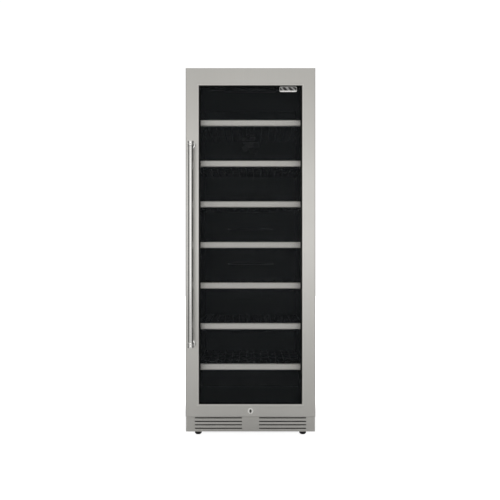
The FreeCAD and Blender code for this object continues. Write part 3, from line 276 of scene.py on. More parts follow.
def foam(name):
    paint = Paint(name)
    bubbles = paint.cells(420.0)
    tone = paint.noise(9.0, 4.0)
    paint.feed("Base Color", paint.tint(tone, (0.74, 0.62, 0.34), (0.86, 0.77, 0.50)))
    paint.feed("Roughness", tone * 0.1 + 0.8)
    return paint.bump(bubbles, 0.0006)


def bareMetal(name, colour, rough=0.3, scale=60.0, metallic=1.0):
    # die-cast, drawn or plated metal with faint clouding
    paint = Paint(name, Metallic=metallic)
    cloud = paint.noise(scale, 4.0)
    grain = paint.noise(2200.0, 2.0)
    paint.feed("Base Color", paint.tint(cloud, shade(colour, 0.86), shade(colour, 1.08)))
    paint.feed("Roughness", cloud * 0.16 + (rough - 0.06))
    return paint.bump(grain, 0.00001, 0.5)


badge = {
    "corner": 0.0062,
    "rimWidth": 0.0017,
    "edge": ((0.0, 0.0006), (0.0002, 0.0002), (0.0006, 0.0)),  # (inset, depth) of the eased edge
    "inlayDepth": 0.0005,
    "inlayWall": 0.0005,
    "lowerBand": 0.0062,  # height of the plain bright band along the lower edge
    "bandEdge": 0.0003,
    "waves": 27.0,
    "waveDepth": 0.0002,
    "dark": (0.035, 0.035, 0.036),
    "light": (0.36, 0.36, 0.36),
    "rim": (0.62, 0.62, 0.61),
    "band": (0.98, 0.98, 0.97),
}


def nameplate(name):
    # bright rim and lower band round a dark inlay with a plain wavy relief and no writing
    paint = Paint(name)
    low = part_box("badge_plate")[0]
    above = paint.axis(2) - low.z
    level, soft, depth = badge["lowerBand"], badge["bandEdge"], badge["inlayDepth"]
    band = 1.0 - above.between(level - soft, level + soft)
    inlay = (paint.axis(1) - low.y).between(depth * 0.5, depth * 0.8) * (1.0 - band)
    settings = {"wave_type": "BANDS", "bands_direction": "DIAGONAL"}
    inputs = {"Vector": paint.place, "Scale": badge["waves"], "Distortion": 4.0}
    waves = paint.node("TexWave", settings, inputs)
    cloud = paint.noise(120.0, 3.0)
    relief = (waves * 0.85 + cloud * 0.3).between(0.45, 0.95)
    pattern = paint.tint(relief, badge["dark"], badge["light"])
    bright = paint.tint(band, badge["rim"], badge["band"])
    paint.feed("Base Color", paint.tint(inlay, bright, pattern))
    paint.feed("Metallic", 0.9 - band * 0.55)
    paint.feed("Roughness", cloud * 0.12 + inlay * 0.08 + 0.22)
    return paint.bump(waves * inlay, badge["waveDepth"], 0.5)


keyhole = {
    "halfWidth": 0.0055,
    "halfHeight": 0.0082,
    "edge": (0.85, 1.05),  # where the oval of painted shade ends, as a share of its size squared
    "dark": (0.10, 0.10, 0.095),
    "bright": (0.96, 0.96, 0.92),
}


def lockFace(name):
    # turned plug with a dark upright oval of painted shade standing for the recess of its key slot
    paint = Paint(name, Metallic=0.4)
    low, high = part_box("lock_bezel")
    aside = paint.axis(0) * (1 / keyhole["halfWidth"])
    above = (paint.axis(2) - (low.z + high.z) / 2) * (1 / keyhole["halfHeight"])
    # painted shade: the key slot's recess is a dark oval painted on the flat face
    slotShade = (aside * aside + above * above).between(*keyhole["edge"])
    cloud = paint.noise(300.0, 3.0)
    turned = paint.wave(900.0, wave_type="RINGS", rings_direction="Y")
    face = paint.tint(cloud, shade(keyhole["bright"], 0.9), keyhole["bright"])
    paint.feed("Base Color", paint.tint(slotShade, keyhole["dark"], face))
    paint.feed("Roughness", cloud * 0.1 + 0.26)
    return paint.bump(turned, 0.000006, 0.4)


def diffuser(name):
    # smoked ribbed cover of the lamps, dark while they are off
    paint = Paint(name, Specular_IOR_Level=0.2)
    ribs = paint.wave(160.0, bands_direction="X")
    haze = paint.noise(30.0, 2.0)
    paint.feed("Base Color", paint.tint(haze, (0.020, 0.020, 0.022), (0.032, 0.032, 0.035)))
    paint.feed("Roughness", haze * 0.1 + 0.35)
    return paint.bump(ribs, 0.0002)


# which finish each carried-over node wears
finishes = {
    "doorSteel": brushedSteel("doorSteel", "z"),
    # painted shade: the kick plate's steel is a darker copy of the door's, standing for the shade on it
    "plinthSteelPaintedShade": brushedSteel("plinthSteelPaintedShade", "x", 0.93, 0.02),
    # painted light: the glazing bead's steel is a brighter copy of the door's, standing for the light its
    # bevel catches
    "beadSteelPaintedLight": brushedSteel("beadSteelPaintedLight", "z", 1.12, 0.02),
    # painted light: the shelf fronts' steel is a much brighter copy, making up for light they lose behind
    # the glass
    "shelfSteelPaintedLight": brushedSteel("shelfSteelPaintedLight", "x", 1.52, 0.20),
    "barSteel": polishedTube("barSteel", "z"),
    # painted highlight: the end caps are a brighter copy of the bar's polished steel
    "capSteelPaintedHighlight": polishedTube("capSteelPaintedHighlight", "z", 1.15),
    "postSteel": polishedTube("postSteel", "y"),
    "cabinetBlack": powderCoat("cabinetBlack", (0.022, 0.022, 0.024)),
    "railBlack": powderCoat("railBlack", (0.006, 0.006, 0.0065), 0.6, 900.0, 0.15),
    "wireBlack": powderCoat("wireBlack", (0.005, 0.005, 0.0055), 0.6, 1500.0, 0.12),
    "potBlack": powderCoat("potBlack", (0.011, 0.011, 0.012), 0.28, 500.0),
    "linerBlack": mouldedPlastic("linerBlack", (0.003, 0.003, 0.0034), 0.7, 1800.0, 0.15),
    "frameBlack": mouldedPlastic("frameBlack", (0.014, 0.014, 0.015), 0.5),
    "motorBlack": mouldedPlastic("motorBlack", (0.026, 0.026, 0.028), 0.55),
    "controlBlack": mouldedPlastic("controlBlack", (0.005, 0.005, 0.0056), 0.5, 1800.0, 0.2),
    "fanBlack": mouldedPlastic("fanBlack", (0.020, 0.020, 0.021), 0.42),
    "nylon": mouldedPlastic("nylon", (0.72, 0.70, 0.64), 0.45),
    "zincSheet": galvanised("zincSheet"),
    "zincPlate": bareMetal("zincPlate", (0.60, 0.60, 0.58), 0.34),
    "aluminium": bareMetal("aluminium", (0.72, 0.73, 0.74), 0.36),
    "spacerBlack": bareMetal("spacerBlack", (0.035, 0.035, 0.035), 0.5),
    "copper": bareMetal("copper", (0.72, 0.36, 0.22), 0.28, 25.0),
    "badgeMetal": nameplate("badgeMetal"),
    "lockMetal": bareMetal("lockMetal", (0.58, 0.57, 0.54), 0.32, 240.0),
    "lockPlug": lockFace("lockPlug"),
    "lockRing": bareMetal("lockRing", (0.98, 0.98, 0.94), 0.34, 240.0, 0.35),
    "sealRubber": rubber("sealRubber", (0.012, 0.012, 0.012)),
    "footRubber": rubber("footRubber", (0.014, 0.014, 0.014), 0.6),
    "foamCream": foam("foamCream"),
    "outerGlass": doorGlass("outerGlass", True),
    "innerGlass": doorGlass("innerGlass", False),
    "lampDiffuser": diffuser("lampDiffuser"),
}
wears = {
    "doorSteel": ["door_skin"],
    "plinthSteelPaintedShade": ["plinth_grille"],
    "beadSteelPaintedLight": ["glazing_trim"],
    "barSteel": ["handle_bar", "handle_end_caps"],
    "postSteel": ["handle_posts"],
    "cabinetBlack": ["side_panel_left", "side_panel_right", "top_panel", "front_frame"],
    "railBlack": ["shelf_rails"],
    "potBlack": ["compressor"],
    "linerBlack": ["inner_liner", "rear_air_duct"],
    "frameBlack": ["door_inner_frame"],
    "motorBlack": ["evaporator_fan_motor", "condenser_fan_frame", "drain_tray"],
    "controlBlack": ["control_housing", "power_inlet"],
    "fanBlack": ["evaporator_fan", "condenser_fan"],
    "nylon": ["hinge_bushings"],
    "zincSheet": ["rear_panel", "base_pan", "machine_bulkhead", "machine_cover"],
    "zincPlate": ["hinge_bracket_top", "hinge_bracket_bottom", "cabinet_screws"],
    "aluminium": ["evaporator", "condenser"],
    "spacerBlack": ["glass_spacer"],
    "copper": ["refrigerant_tubes"],
    "badgeMetal": ["badge_plate"],
    "lockPlug": ["lock_core"],
    "lockRing": ["lock_bezel"],
    "sealRubber": ["door_gasket"],
    "footRubber": [name for name in nodes if name.startswith("foot_")],
    "foamCream": ["insulation_foam"],
    "outerGlass": ["glass_outer"],
    "innerGlass": ["glass_inner"],
    "lampDiffuser": ["led_light_bar"],
    "shelfSteelPaintedLight": [name for name in nodes if name.startswith("shelf_") and name.endswith("_trim")],
    "wireBlack": [name for name in nodes if name.startswith("shelf_") and name.endswith("_rack")],
}


def islands(node):  # boxes of the separate solids inside one node, in order from the left
    mesh = bmesh.new()
    mesh.from_mesh(nodes[node].data)
    bmesh.ops.remove_doubles(mesh, verts=mesh.verts, dist=1e-6)
    waiting = set(mesh.verts)
    found = []
    while waiting:
        island, reach = set(), [waiting.pop()]
        while reach:
            vertex = reach.pop()
            island.add(vertex)
            for edge in vertex.link_edges:
                other = edge.other_vert(vertex)
                if other in waiting:
                    waiting.remove(other)
                    reach.append(other)
        points = [vertex.co for vertex in island]
        low, high = (Vector(map(pick, zip(*points))) for pick in (min, max))
        found.append((low, high))
    mesh.free()
    return sorted(found, key=lambda box: tuple(round(value, 4) for value in box[0]))


creaseAngle = 30  # sharper edges stay sharp


def newPiece(name, mesh, finish, body, stands=()):
    bmesh.ops.recalc_face_normals(mesh, faces=mesh.faces)
    data = bpy.data.meshes.new(name)
    mesh.to_mesh(data)
    mesh.free()
    data.shade_smooth()
    data.set_sharp_from_angle(angle=math.radians(creaseAngle))
    piece = bpy.data.objects.new(name, data)
    bpy.context.scene.collection.objects.link(piece)
    dress(piece, finish)
    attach(piece, body)
    if stands:
        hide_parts(*stands)


def loft(mesh, rings, closed=False, capped=False):  # rings of points joined by quads
    rows = [[mesh.verts.new(point) for point in ring] for ring in rings]
    pairs = list(zip(rows, rows[1:])) + ([(rows[-1], rows[0])] if closed else [])
    for near, far in pairs:
        for index in range(len(near)):
            following = (index + 1) % len(near)
            mesh.faces.new((near[index], near[following], far[following], far[index]))
    if capped:
        mesh.faces.new(rows[0][::-1])
        mesh.faces.new(rows[-1])


def lathe(mesh, centre, axis, profile, steps=40):  # profile of (radius, distance along the axis)
    turn = Vector(axis).to_track_quat("Z", "Y").to_matrix()
    rings = []
    for radius, along in profile:
        spokes = [math.tau * step / steps for step in range(steps)]
        ring = [Vector((radius * math.cos(spoke), radius * math.sin(spoke), along)) for spoke in spokes]
        rings.append([Vector(centre) + turn @ point for point in ring])
    loft(mesh, rings, capped=True)


def stadium(left, right, middle, radius, steps=10):  # outline of a lying slot, in x and z
    points = []
    for centre, start in ((right - radius, -90), (left + radius, 90)):
        for step in range(steps + 1):
            angle = math.radians(start + 180 * step / steps)
            points.append((centre + radius * math.cos(angle), middle + radius * math.sin(angle)))
    return points


def roundedFrame(left, right, low, high, radius, steps=6):  # outline of a rectangle with round corners
    points = []
    corners = ((right, low, -90), (right, high, 0), (left, high, 90), (left, low, 180))
    for x, z, start in corners:
        centreX = x - radius if x == right else x + radius
        centreZ = z - radius if z == high else z + radius
        for step in range(steps + 1):
            angle = math.radians(start + 90 * step / steps)
            points.append((centreX + radius * math.cos(angle), centreZ + radius * math.sin(angle)))
    return points


def sweepFlat(mesh, outline, level, section):  # section of (outward, y) pairs carried round an outline
    count = len(outline)
    rings = []
    for index, (x, z) in enumerate(outline):
        before, after = Vector(outline[index - 1]), Vector(outline[(index + 1) % count])
        along = (after - before).normalized()
        outward = Vector((along.y, -along.x))
        rings.append([(x + outward.x * out, level + depth, z + outward.y * out) for out, depth in section])
    loft(mesh, rings, closed=True)


def dress(piece, finish):
    piece.data.materials.clear()
    piece.data.materials.append(finishes[finish].material)


for finish, wearers in wears.items():
    for wearer in wearers:
        dress(nodes[wearer], finish)
undressed = set(nodes) - {wearer for wearers in wears.values() for wearer in wearers}
print("finishes given; nodes left without one:", sorted(undressed))

seal = {
    "width": 0.018,
    "corner": 0.012,
    # half of the section, from the door to the cabinet: (distance from the middle, share of the depth)
    "section": (
        (0.0075, 0.0), (0.0084, 0.09), (0.0058, 0.28),
        (0.0086, 0.46), (0.0062, 0.62), (0.0068, 0.92),
    ),
    "lipWidth": 0.0058,
}


def makeSeal():
    low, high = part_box("door_gasket")
    half = seal["width"] / 2
    depth = high.y - low.y
    right = [(out, share * depth) for out, share in seal["section"]] + [(seal["lipWidth"], depth)]
    left = [(-out, along) for out, along in reversed(right)]
    outline = roundedFrame(low.x + half, high.x - half, low.z + half, high.z - half, seal["corner"])
    mesh = bmesh.new()
    sweepFlat(mesh, outline, low.y, right + left)
    newPiece("doorSealBellows", mesh, "sealRubber", "door", ["door_gasket"])


screws = {
    "headHeight": 0.0024,
    "rim": 0.55,  # share of the head's height that its side takes
    "recessArm": 0.62,  # share of the radius
    "recessWidth": 0.2,
    "recessDepth": 0.0011,
    "recessTaper": 0.8,
    "steps": 32,
}


def screwHead(mesh, seat, outward, radius, height):
    turn = Vector(outward).to_track_quat("Z", "Y").to_matrix()
    steps = screws["steps"]
    arm, wide = radius * screws["recessArm"], radius * screws["recessWidth"]
    side = height * screws["rim"]

    def place(x, y, z):
        return Vector(seat) + turn @ Vector((x, y, z))

    def dome(x, y):
        return side + (height - side) * (1 - (x * x + y * y) / radius ** 2)

    spokes = [math.tau * step / steps for step in range(steps)]
    circle = [(radius * math.cos(spoke), radius * math.sin(spoke)) for spoke in spokes]
    quarter = [(arm, -wide), (arm, wide), (wide, wide)]
    cross = []
    for _ in range(4):
        cross += quarter
        quarter = [(-y, x) for x, y in quarter]
    foot = [mesh.verts.new(place(x, y, 0)) for x, y in circle]
    rim = [mesh.verts.new(place(x, y, dome(x, y))) for x, y in circle]
    lip = [mesh.verts.new(place(x, y, dome(x, y))) for x, y in cross]
    taper, bottom = screws["recessTaper"], height - screws["recessDepth"]
    floor = [mesh.verts.new(place(x * taper, y * taper, bottom)) for x, y in cross]
    for low, high in ((foot, rim), (floor, lip)):
        for index in range(len(low)):
            following = (index + 1) % len(low)
            mesh.faces.new((low[index], low[following], high[following], high[index]))
    mesh.faces.new(foot[::-1])
    mesh.faces.new(floor)
    edges = []
    for loop in (rim, lip):
        edges += [mesh.edges.get((loop[index - 1], loop[index])) for index in range(len(loop))]
    bmesh.ops.triangle_fill(mesh, use_beauty=True, edges=edges)


def makeScrews():
    mesh = bmesh.new()
    for low, high in islands("cabinet_screws"):
        size = high - low
        axis = list(size).index(max(size)) if max(size) > min(size) * 1.02 else 2
        radius = size[0 if axis else 1] / 2
        sign = 1 if axis == 2 or low.y > 0 else -1
        outward = Vector((0, 0, 0))
        outward[axis] = sign
        seat = (low + high) / 2
        seat[axis] = (high if sign > 0 else low)[axis] - sign * screws["headHeight"]
        screwHead(mesh, seat, outward, radius, screws["headHeight"])
    newPiece("screwHeads", mesh, "zincPlate", "cabinet", ["cabinet_screws"])


caps = {
    # (share of the radius, distance from the outer end), a flat end, two beads and the neck between them
    "profile": (
        (0.50, 0.0), (0.88, 0.0001), (0.95, 0.0007), (0.985, 0.0017),
        (1.0, 0.0032), (1.0, 0.0112), (0.985, 0.0119), (0.965, 0.0124),
        (0.96, 0.0130), (0.965, 0.0136), (0.985, 0.0141), (1.0, 0.0148),
        (1.0, 0.0210), (0.97, 0.0226), (0.91, 0.0234), (0.86, 0.0240),
    ),
    "inside": 0.00002,  # kept within the cap's box
    # (radius, distance from the door's face), a button with a rounded edge and a straight neck
    "post": (
        (0.0190, 0.0), (0.0190, 0.0014), (0.0187, 0.0028), (0.0180, 0.0042),
        (0.0170, 0.0052), (0.0158, 0.0058), (0.0124, 0.0060), (0.0119, 0.0064),
        (0.0105, 0.0110), (0.0091, 0.0175), (0.0090, 0.0260), (0.0090, 0.0405),
    ),
    # (radius, depth) of the set screw under each post, from its socket outward
    "setScrew": ((0.0003, 0.0002), (0.0012, 0.0002), (0.0013, 0.0009), (0.0022, 0.0009), (0.0022, 0.0)),
    "screwFromDoor": 0.020,
    "screwBelowAxis": 0.0088,
}


def makeHandleEnds():
    mesh = bmesh.new()
    boxes = sorted(islands("handle_end_caps"), key=lambda box: box[0].z)
    for (low, high), up in zip(boxes, (-1, 1)):
        radius = min(high.x - low.x, high.y - low.y) / 2 - caps["inside"]
        centre = (low + high) / 2
        start = (centre.x, centre.y, high.z if up > 0 else low.z)
        profile = [(share * radius, along) for share, along in caps["profile"]]
        lathe(mesh, start, (0, 0, -up), profile, 56)
    newPiece("handleTurnedEnds", mesh, "capSteelPaintedHighlight", "door", ["handle_end_caps"])
    mesh = bmesh.new()
    for low, high in islands("handle_posts"):
        centre = (low + high) / 2
        lathe(mesh, (centre.x, high.y, centre.z), (0, -1, 0), caps["post"], 48)
    newPiece("handleTurnedPosts", mesh, "postSteel", "door", ["handle_posts"])
    mesh = bmesh.new()
    for low, high in islands("handle_posts"):
        centre = (low + high) / 2
        seat = (centre.x, high.y - caps["screwFromDoor"], centre.z - caps["screwBelowAxis"])
        lathe(mesh, seat, (0, 0, -1), caps["setScrew"], 24)
    newPiece("handleSetScrews", mesh, "lockMetal", "door")


def makeBadge():
    low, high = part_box("badge_plate")
    mesh = bmesh.new()
    rings = []
    rim = badge["rimWidth"]
    inlay = ((rim, 0.0), (rim + badge["inlayWall"], badge["inlayDepth"]))
    for inset, depth in ((0.0, high.y - low.y),) + badge["edge"] + inlay:
        left, right = low.x + inset, high.x - inset
        outline = roundedFrame(left, right, low.z + inset, high.z - inset, badge["corner"] - inset)
        rings.append([(x, low.y + depth, z) for x, z in outline])
    loft(mesh, rings, capped=True)
    newPiece("badgeRoundedPlate", mesh, "badgeMetal", "door", ["badge_plate"])


kick = {
    "slotRows": 4,
    "slotLength": 0.217,
    "slotHeight": 0.005,
    "slotPitch": 0.0159,
    "lowestSlot": 0.015,  # above the plate's lower edge
    "blankMiddle": 0.078,
    "lipRadius": 0.0011,
    "lipDepth": 0.0006,
    "topRoll": 0.0012,
    "rollProud": 0.0006,  # how far the roll stands in front of the plate
    "rollInset": 0.0005,
    "shadeSheetInset": (0.003, 0.002),  # sideways, and up and down
    "plate": 0.0015,
    "shadeSheetGap": 0.0004,
    "shadeSheetDepth": 0.0012,
}


def lipSection(radius, depth, steps=6):  # a rolled edge: half a circle outward and a short leg back
    arc = [math.pi * step / steps for step in range(steps + 1)]
    front = [(radius - radius * math.cos(angle), -radius * math.sin(angle) * 0.8) for angle in arc]
    return front + [(2 * radius, depth), (0.0, depth)]


def makeKickLips():
    low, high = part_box("plinth_grille")
    mesh = bmesh.new()
    section = lipSection(kick["lipRadius"], kick["lipDepth"])
    reach = kick["blankMiddle"] / 2
    for row in range(kick["slotRows"]):
        level = low.z + kick["lowestSlot"] + row * kick["slotPitch"]
        for start in (-reach - kick["slotLength"], reach):
            outline = stadium(start, start + kick["slotLength"], level, kick["slotHeight"] / 2)
            sweepFlat(mesh, outline, low.y, section)
    newPiece("kickGrilleLips", mesh, "plinthSteelPaintedShade", "cabinet")
    mesh = bmesh.new()
    radius = kick["topRoll"]
    arc = [math.tau * step / 24 for step in range(24)]
    middleY, middleZ = low.y + radius - kick["rollProud"], high.z - radius * 0.35
    ring = [(middleY - radius * math.cos(turn), middleZ + radius * math.sin(turn)) for turn in arc]
    ends = (low.x + kick["rollInset"], high.x - kick["rollInset"])
    loft(mesh, [[(x, y, z) for y, z in ring] for x in ends], capped=True)
    newPiece("kickTopRoll", mesh, "beadSteelPaintedLight", "cabinet")
    # painted shade: a dark sheet just behind the plate keeps the slots dark, standing for the shade inside
    # the plinth
    mesh = bmesh.new()
    aside, above = kick["shadeSheetInset"]
    left, right, bottom, top = low.x + aside, high.x - aside, low.z + above, high.z - above
    corners = [(left, bottom), (right, bottom), (right, top), (left, top)]
    front = low.y + kick["plate"] + kick["shadeSheetGap"]
    sheets = (front, front + kick["shadeSheetDepth"])
    loft(mesh, [[(x, y, z) for x, z in corners] for y in sheets], capped=True)
    newPiece("kickShadeSheet", mesh, "linerBlack", "cabinet")


louvres = {
    "rows": 7,
    "pitch": 0.020,
    "length": 0.170,
    "height": 0.008,
    "lowest": 0.060,  # above the cover's lower edge
    "starts": (0.040, 0.3045),  # from the cover's left edge
    "bulge": 0.0021,
    # (share of the length, share of the bulge)
    "swell": ((0.0, 0.0), (0.02, 0.5878), (0.05, 1.0), (0.5, 1.0), (0.95, 1.0), (0.98, 0.5878), (1.0, 0.0)),
    "overhang": 0.0035,
    "underhang": 0.001,
    "sheet": 0.0005,
    "steps": 8,
}


def makeLouvreHoods():
    low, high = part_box("machine_cover")
    mesh = bmesh.new()
    steps, sheet = louvres["steps"], louvres["sheet"]
    angles = [math.pi / 2 * step / steps for step in range(steps + 1)]
    for row in range(louvres["rows"]):
        level = low.z + louvres["lowest"] + row * louvres["pitch"]
        top = level + louvres["height"] / 2 + louvres["overhang"]
        bottom = level - louvres["height"] / 2 + louvres["underhang"]
        for start in louvres["starts"]:
            rings = []
            for share, swell in louvres["swell"]:
                x = low.x + start + louvres["length"] * share
                front = []
                for angle in angles:
                    z = top - (top - bottom) * math.sin(angle)
                    y = high.y + louvres["bulge"] * swell * (1 - math.cos(angle)) ** 0.5
                    front.append((x, y, z))
                rear = [(x, max(y - sheet, high.y - 0.0004), z) for x, y, z in reversed(front)]
                rings.append(front + rear)
            loft(mesh, rings, capped=True)
    newPiece("louvreHoods", mesh, "zincSheet", "cabinet")


beads = {
    "margin": 0.055,
    "corner": 0.030,
    "width": 0.014,
    "height": 0.0021,
    "sink": 0.0004,  # how far the underside reaches into the sheet
    "ribs": 5,
    "ribInset": 0.100,  # from the sheet's edge
    "ribRadius": 0.012,
}


def makeRearBeads():
    low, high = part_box("rear_panel")
    half = beads["width"] / 2
    shares = [step / 8 for step in range(9)]
    rise = beads["height"]
    crest = [(half - beads["width"] * share, rise * math.sin(math.pi * share)) for share in shares]
    section = crest + [(-half, -beads["sink"]), (half, -beads["sink"])]
    mesh = bmesh.new()
    margin = beads["margin"]
    left, right = low.x + margin, high.x - margin
    outline = roundedFrame(left, right, low.z + margin, high.z - margin, beads["corner"])
    sweepFlat(mesh, outline, high.y, section)
    inner = beads["ribInset"]
    spacing = (high.z - low.z - 2 * inner) / (beads["ribs"] - 1)
    for rib in range(beads["ribs"]):
        level = low.z + inner + rib * spacing
        outline = stadium(low.x + inner, high.x - inner, level, beads["ribRadius"])
        sweepFlat(mesh, outline, high.y, section)
    newPiece("rearPanelBeads", mesh, "zincSheet", "cabinet")


nuts = {
    "radius": 0.0085,
    "chamfer": 0.0006,
    "chamferRadius": 0.93,  # share of the radius
    "gap": 0.0003,
    "stem": 0.0051,
    "padHeight": 0.027,
    "steps": 36,
}


def makeFootNuts():
    bottom = nuts["padHeight"] + nuts["gap"]
    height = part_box("base_pan")[0].z - bottom - nuts["gap"]
    stem, wide, narrow = nuts["stem"], nuts["radius"], nuts["radius"] * nuts["chamferRadius"]
    chamfer, sixth = nuts["chamfer"], math.pi / 6
    profile = (
        (stem, 0.0), (narrow, 0.0), (wide, chamfer),
        (wide, height - chamfer), (narrow, height), (stem, height),
    )
    for name in [node for node in nodes if node.startswith("foot_")]:
        low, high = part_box(name)
        centre = (low + high) / 2
        mesh = bmesh.new()
        rings = []
        for radius, along in profile:
            ring = []
            for step in range(nuts["steps"]):
                angle = math.tau * step / nuts["steps"]
                flat = math.cos(sixth) / math.cos(angle % (2 * sixth) - sixth)  # one side of the hexagon
                reach = radius * flat if radius > stem else radius
                x, y = reach * math.cos(angle), reach * math.sin(angle)
                ring.append((centre.x + x, centre.y + y, bottom + along))
            rings.append(ring)
        loft(mesh, rings, closed=True)
        newPiece(name + "_lockNut", mesh, "zincPlate", name)


vanes = {
    "rows": 9,
    "pitch": 0.0952,
    "lowest": 0.060,  # above the duct's lower edge
    "halfWidth": 0.118,
    "halfHeight": 0.0036,
    "behindFace": 0.0002,
    "sheet": 0.0008,
    "slant": 0.0026,
}


def makeDuctVanes():
    # slanted blades just inside the front sheet of the duct, one in each slot
    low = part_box("rear_air_duct")[0]
    mesh = bmesh.new()
    sheet, wide = vanes["sheet"], vanes["halfWidth"]
    near = low.y + vanes["behindFace"]
    far = near + vanes["slant"]
    for row in range(vanes["rows"]):
        level = low.z + vanes["lowest"] + row * vanes["pitch"]
        upper, lower = level + vanes["halfHeight"], level - vanes["halfHeight"]
        blade = ((near, upper), (near + sheet, upper), (far + sheet, lower), (far, lower))
        loft(mesh, [[(x, y, z) for y, z in blade] for x in (-wide, wide)], capped=True)
    newPiece("ductVanes", mesh, "linerBlack", "cabinet")


display = {
    "pads": 6,
    "padRadius": 0.0042,
    "padPitch": 0.016,
    "firstPad": 0.040,  # from the middle
    "windowHalf": (0.022, 0.0052),
    "windowCorner": 0.002,
    "recess": 0.0008,  # face behind the housing's front
    "ring": (0.0004, 0.00035),  # half width, height
    "margins": (0.008, 0.003),  # below and above the face
}


def makeControlMarks():
    low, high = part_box("control_housing")
    glassY = low.y + display["recess"]
    below, above = display["margins"]
    middleZ = (low.z + below + high.z - above) / 2
    mesh = bmesh.new()
    half, proud = display["ring"]
    ringSection = [(-half, 0.0), (-half, -proud), (half, -proud), (half, 0.0)]
    radius = display["padRadius"]
    for side in (-1, 1):
        for pad in range(display["pads"] // 2):
            centre = side * (display["firstPad"] + pad * display["padPitch"])
            outline = stadium(centre - radius, centre + radius, middleZ, radius - 1e-5, 12)
            sweepFlat(mesh, outline, glassY, ringSection)
    wide, tall = display["windowHalf"]
    outline = roundedFrame(-wide, wide, middleZ - tall, middleZ + tall, display["windowCorner"])
    sweepFlat(mesh, outline, glassY, ringSection)
    newPiece("controlPadRings", mesh, "motorBlack", "cabinet")


pot = {
    "radius": 0.062,
    "seamHeight": 0.098,  # above the rubber feet's underside
    "seamRadius": 0.002,
    "seamProud": 0.0016,
    "boxSize": (0.030, 0.034, 0.052),
    "boxCorner": 0.003,
    "boxSink": 0.014,  # how far the terminal box starts inside the can
    "boxBelowSeam": 0.060,
}


def makeCompressorDetails():
    low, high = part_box("compressor")
    centre = (low + high) / 2
    radius, seam, proud = pot["radius"], pot["seamRadius"], pot["seamProud"]
    seamLevel = low.z + pot["seamHeight"]
    mesh = bmesh.new()
    arc = [math.pi * step / 6 for step in range(7)]
    bulge = [(radius + proud * math.sin(angle), seam - seam * math.cos(angle)) for angle in arc]
    profile = [(radius - 0.001, 0.0)] + bulge + [(radius - 0.001, 2 * seam)]
    lathe(mesh, (centre.x, centre.y, seamLevel), (0, 0, 1), profile, 64)
    wide, deep, tall = pot["boxSize"]
    front = deep - pot["boxSink"]
    rings = []
    for inset, depth in ((0.0, -0.012), (0.0, front), (0.003, front + 0.004), (0.006, front + 0.005)):
        half = wide / 2 - inset
        outline = roundedFrame(-half, half, inset, tall - inset, pot["boxCorner"])
        x, y, z = centre.x, centre.y + radius + depth, seamLevel - pot["boxBelowSeam"]
        rings.append([(x + aside, y, z + above) for aside, above in outline])
    loft(mesh, rings, capped=True)
    newPiece("compressorFittings", mesh, "motorBlack", "cabinet")


makeSeal()
makeScrews()
makeHandleEnds()
makeBadge()
makeKickLips()
makeLouvreHoods()
makeRearBeads()
makeFootNuts()
makeDuctVanes()
makeControlMarks()
makeCompressorDetails()

camera = {
    "distance": 3.0,  # lens to door face
    "height": 0.8625,
    "aside": -0.0023,
    "viewWidth": 2.294,  # what the picture is wide at the door face
    "sensor": 36.0,
}


def makeCamera():
    lens = bpy.data.cameras.new("camera")
    lens.sensor_width = camera["sensor"]
    lens.lens = camera["sensor"] * camera["distance"] / camera["viewWidth"]
    stand = bpy.data.objects.new("camera", lens)
    stand.location = (camera["aside"], faceY - camera["distance"], camera["height"])
    stand.rotation_euler = (math.radians(90), 0, 0)
    bpy.context.scene.collection.objects.link(stand)
    bpy.context.scene.camera = stand


studio = {
    "floorRadius": 9.0,
    "floorGlow": 0.93,
    "floorGrey": 0.74,
    "floorSideGrey": 0.16,
    "frontGrey": 0.69,  # brightness of the room ahead and behind
    "sideGrey": 0.15,  # brightness of the room to the left and right
    "bothSides": (0.70, 0.88),  # where one turns into the other, as sideways share of the direction
    "warmGrey": (1.0, 0.99, 0.965),
    "white": (1.0, 1.0, 1.0),
    "backdrop": 1.05,
}
lamps = {  # place, size, power, point aimed at, seen in reflections
    "front": ((0.0, -4.6, 1.12), (3.0, 1.7), 9.0, (0.0, 0.0, 1.12), True),
    "leftSide": ((-3.6, -1.6, 1.7), (1.2, 2.2), 9.0, (0.0, 0.0, 0.9), False),
    "rightSide": ((3.6, -1.6, 1.7), (1.2, 2.2), 9.0, (0.0, 0.0, 0.9), False),
    "above": ((0.0, 0.6, 4.2), (3.0, 3.0), 26.0, (0.0, 0.0, 0.5), False),
    "behind": ((0.0, 4.2, 1.4), (2.6, 2.0), 16.0, (0.0, 0.0, 0.9), True),
}


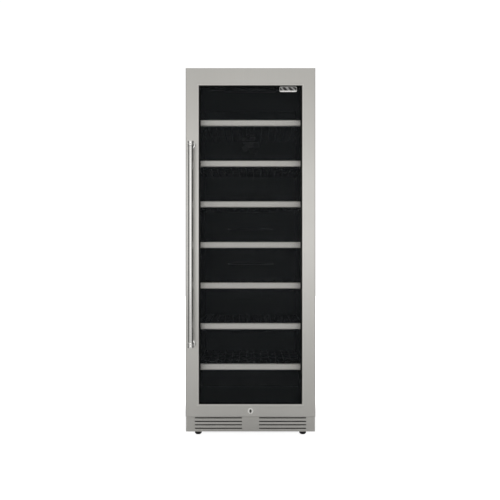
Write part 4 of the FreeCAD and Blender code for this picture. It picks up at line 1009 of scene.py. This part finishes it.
def makeLamps():
    for name, (place, size, power, target, reflected) in lamps.items():
        light = bpy.data.lights.new(name, "AREA")
        light.shape = "RECTANGLE"
        light.size, light.size_y = size
        light.energy = power
        lamp = bpy.data.objects.new(name, light)
        lamp.location = place
        lamp.rotation_euler = (Vector(target) - Vector(place)).to_track_quat("-Z", "Y").to_euler()
        lamp.visible_glossy = reflected
        lamp.visible_camera = False
        bpy.context.scene.collection.objects.link(lamp)


def makeFloor():
    disc = bmesh.new()
    bmesh.ops.create_circle(disc, cap_ends=True, segments=96, radius=studio["floorRadius"])
    mesh = bpy.data.meshes.new("studioFloor")
    disc.to_mesh(mesh)
    disc.free()
    floor = bpy.data.objects.new("studioFloor", mesh)
    bpy.context.scene.collection.objects.link(floor)
    paint = Paint("floorWhite", Roughness=0.9, Specular_IOR_Level=0.1)
    reach = paint.node("VectorMath", {"operation": "LENGTH"}, {0: paint.place}, 1)
    sideways = (abs(paint.axis(0)) / reach).between(*studio["bothSides"])
    front, side = (shade(studio["white"], studio[key]) for key in ("floorGrey", "floorSideGrey"))
    paint.feed("Base Color", paint.tint(sideways, front, side))
    glow = paint.node("Emission", {}, {"Color": studio["white"], "Strength": studio["floorGlow"]})
    seen = paint.node("LightPath", {}, {}, 0)
    lit = Signal(paint, paint.shader.outputs[0])
    both = paint.node("AddShader", {}, {0: lit, 1: glow})
    mixed = paint.node("MixShader", {}, {0: seen, 1: lit, 2: both})
    paint.plug(paint.tree.nodes["Material Output"].inputs[0], mixed)
    mesh.materials.append(paint.material)


def makeWorld():
    world = bpy.data.worlds.new("studio")
    bpy.context.scene.world = world
    world.use_nodes = True
    room = NodeTree(world.node_tree)
    direction = room.node("TexCoord", {}, {}, 0)
    sideways = abs(room.node("SeparateXYZ", {}, {0: direction}, 0))
    side = sideways.between(*studio["bothSides"])
    level = side * (studio["sideGrey"] - studio["frontGrey"]) + studio["frontGrey"]
    grey = room.node("Background", {}, {"Color": studio["warmGrey"], "Strength": level})
    white = room.node("Background", {}, {"Color": studio["white"], "Strength": studio["backdrop"]})
    seen = room.node("LightPath", {}, {}, 0)
    mixed = room.node("MixShader", {}, {0: seen, 1: grey, 2: white})
    room.plug(room.tree.nodes["World Output"].inputs[0], mixed)


makeCamera()
makeLamps()
makeFloor()
makeWorld()
bpy.context.scene.view_settings.view_transform = "Standard"
print("camera, lamps and floor in place")
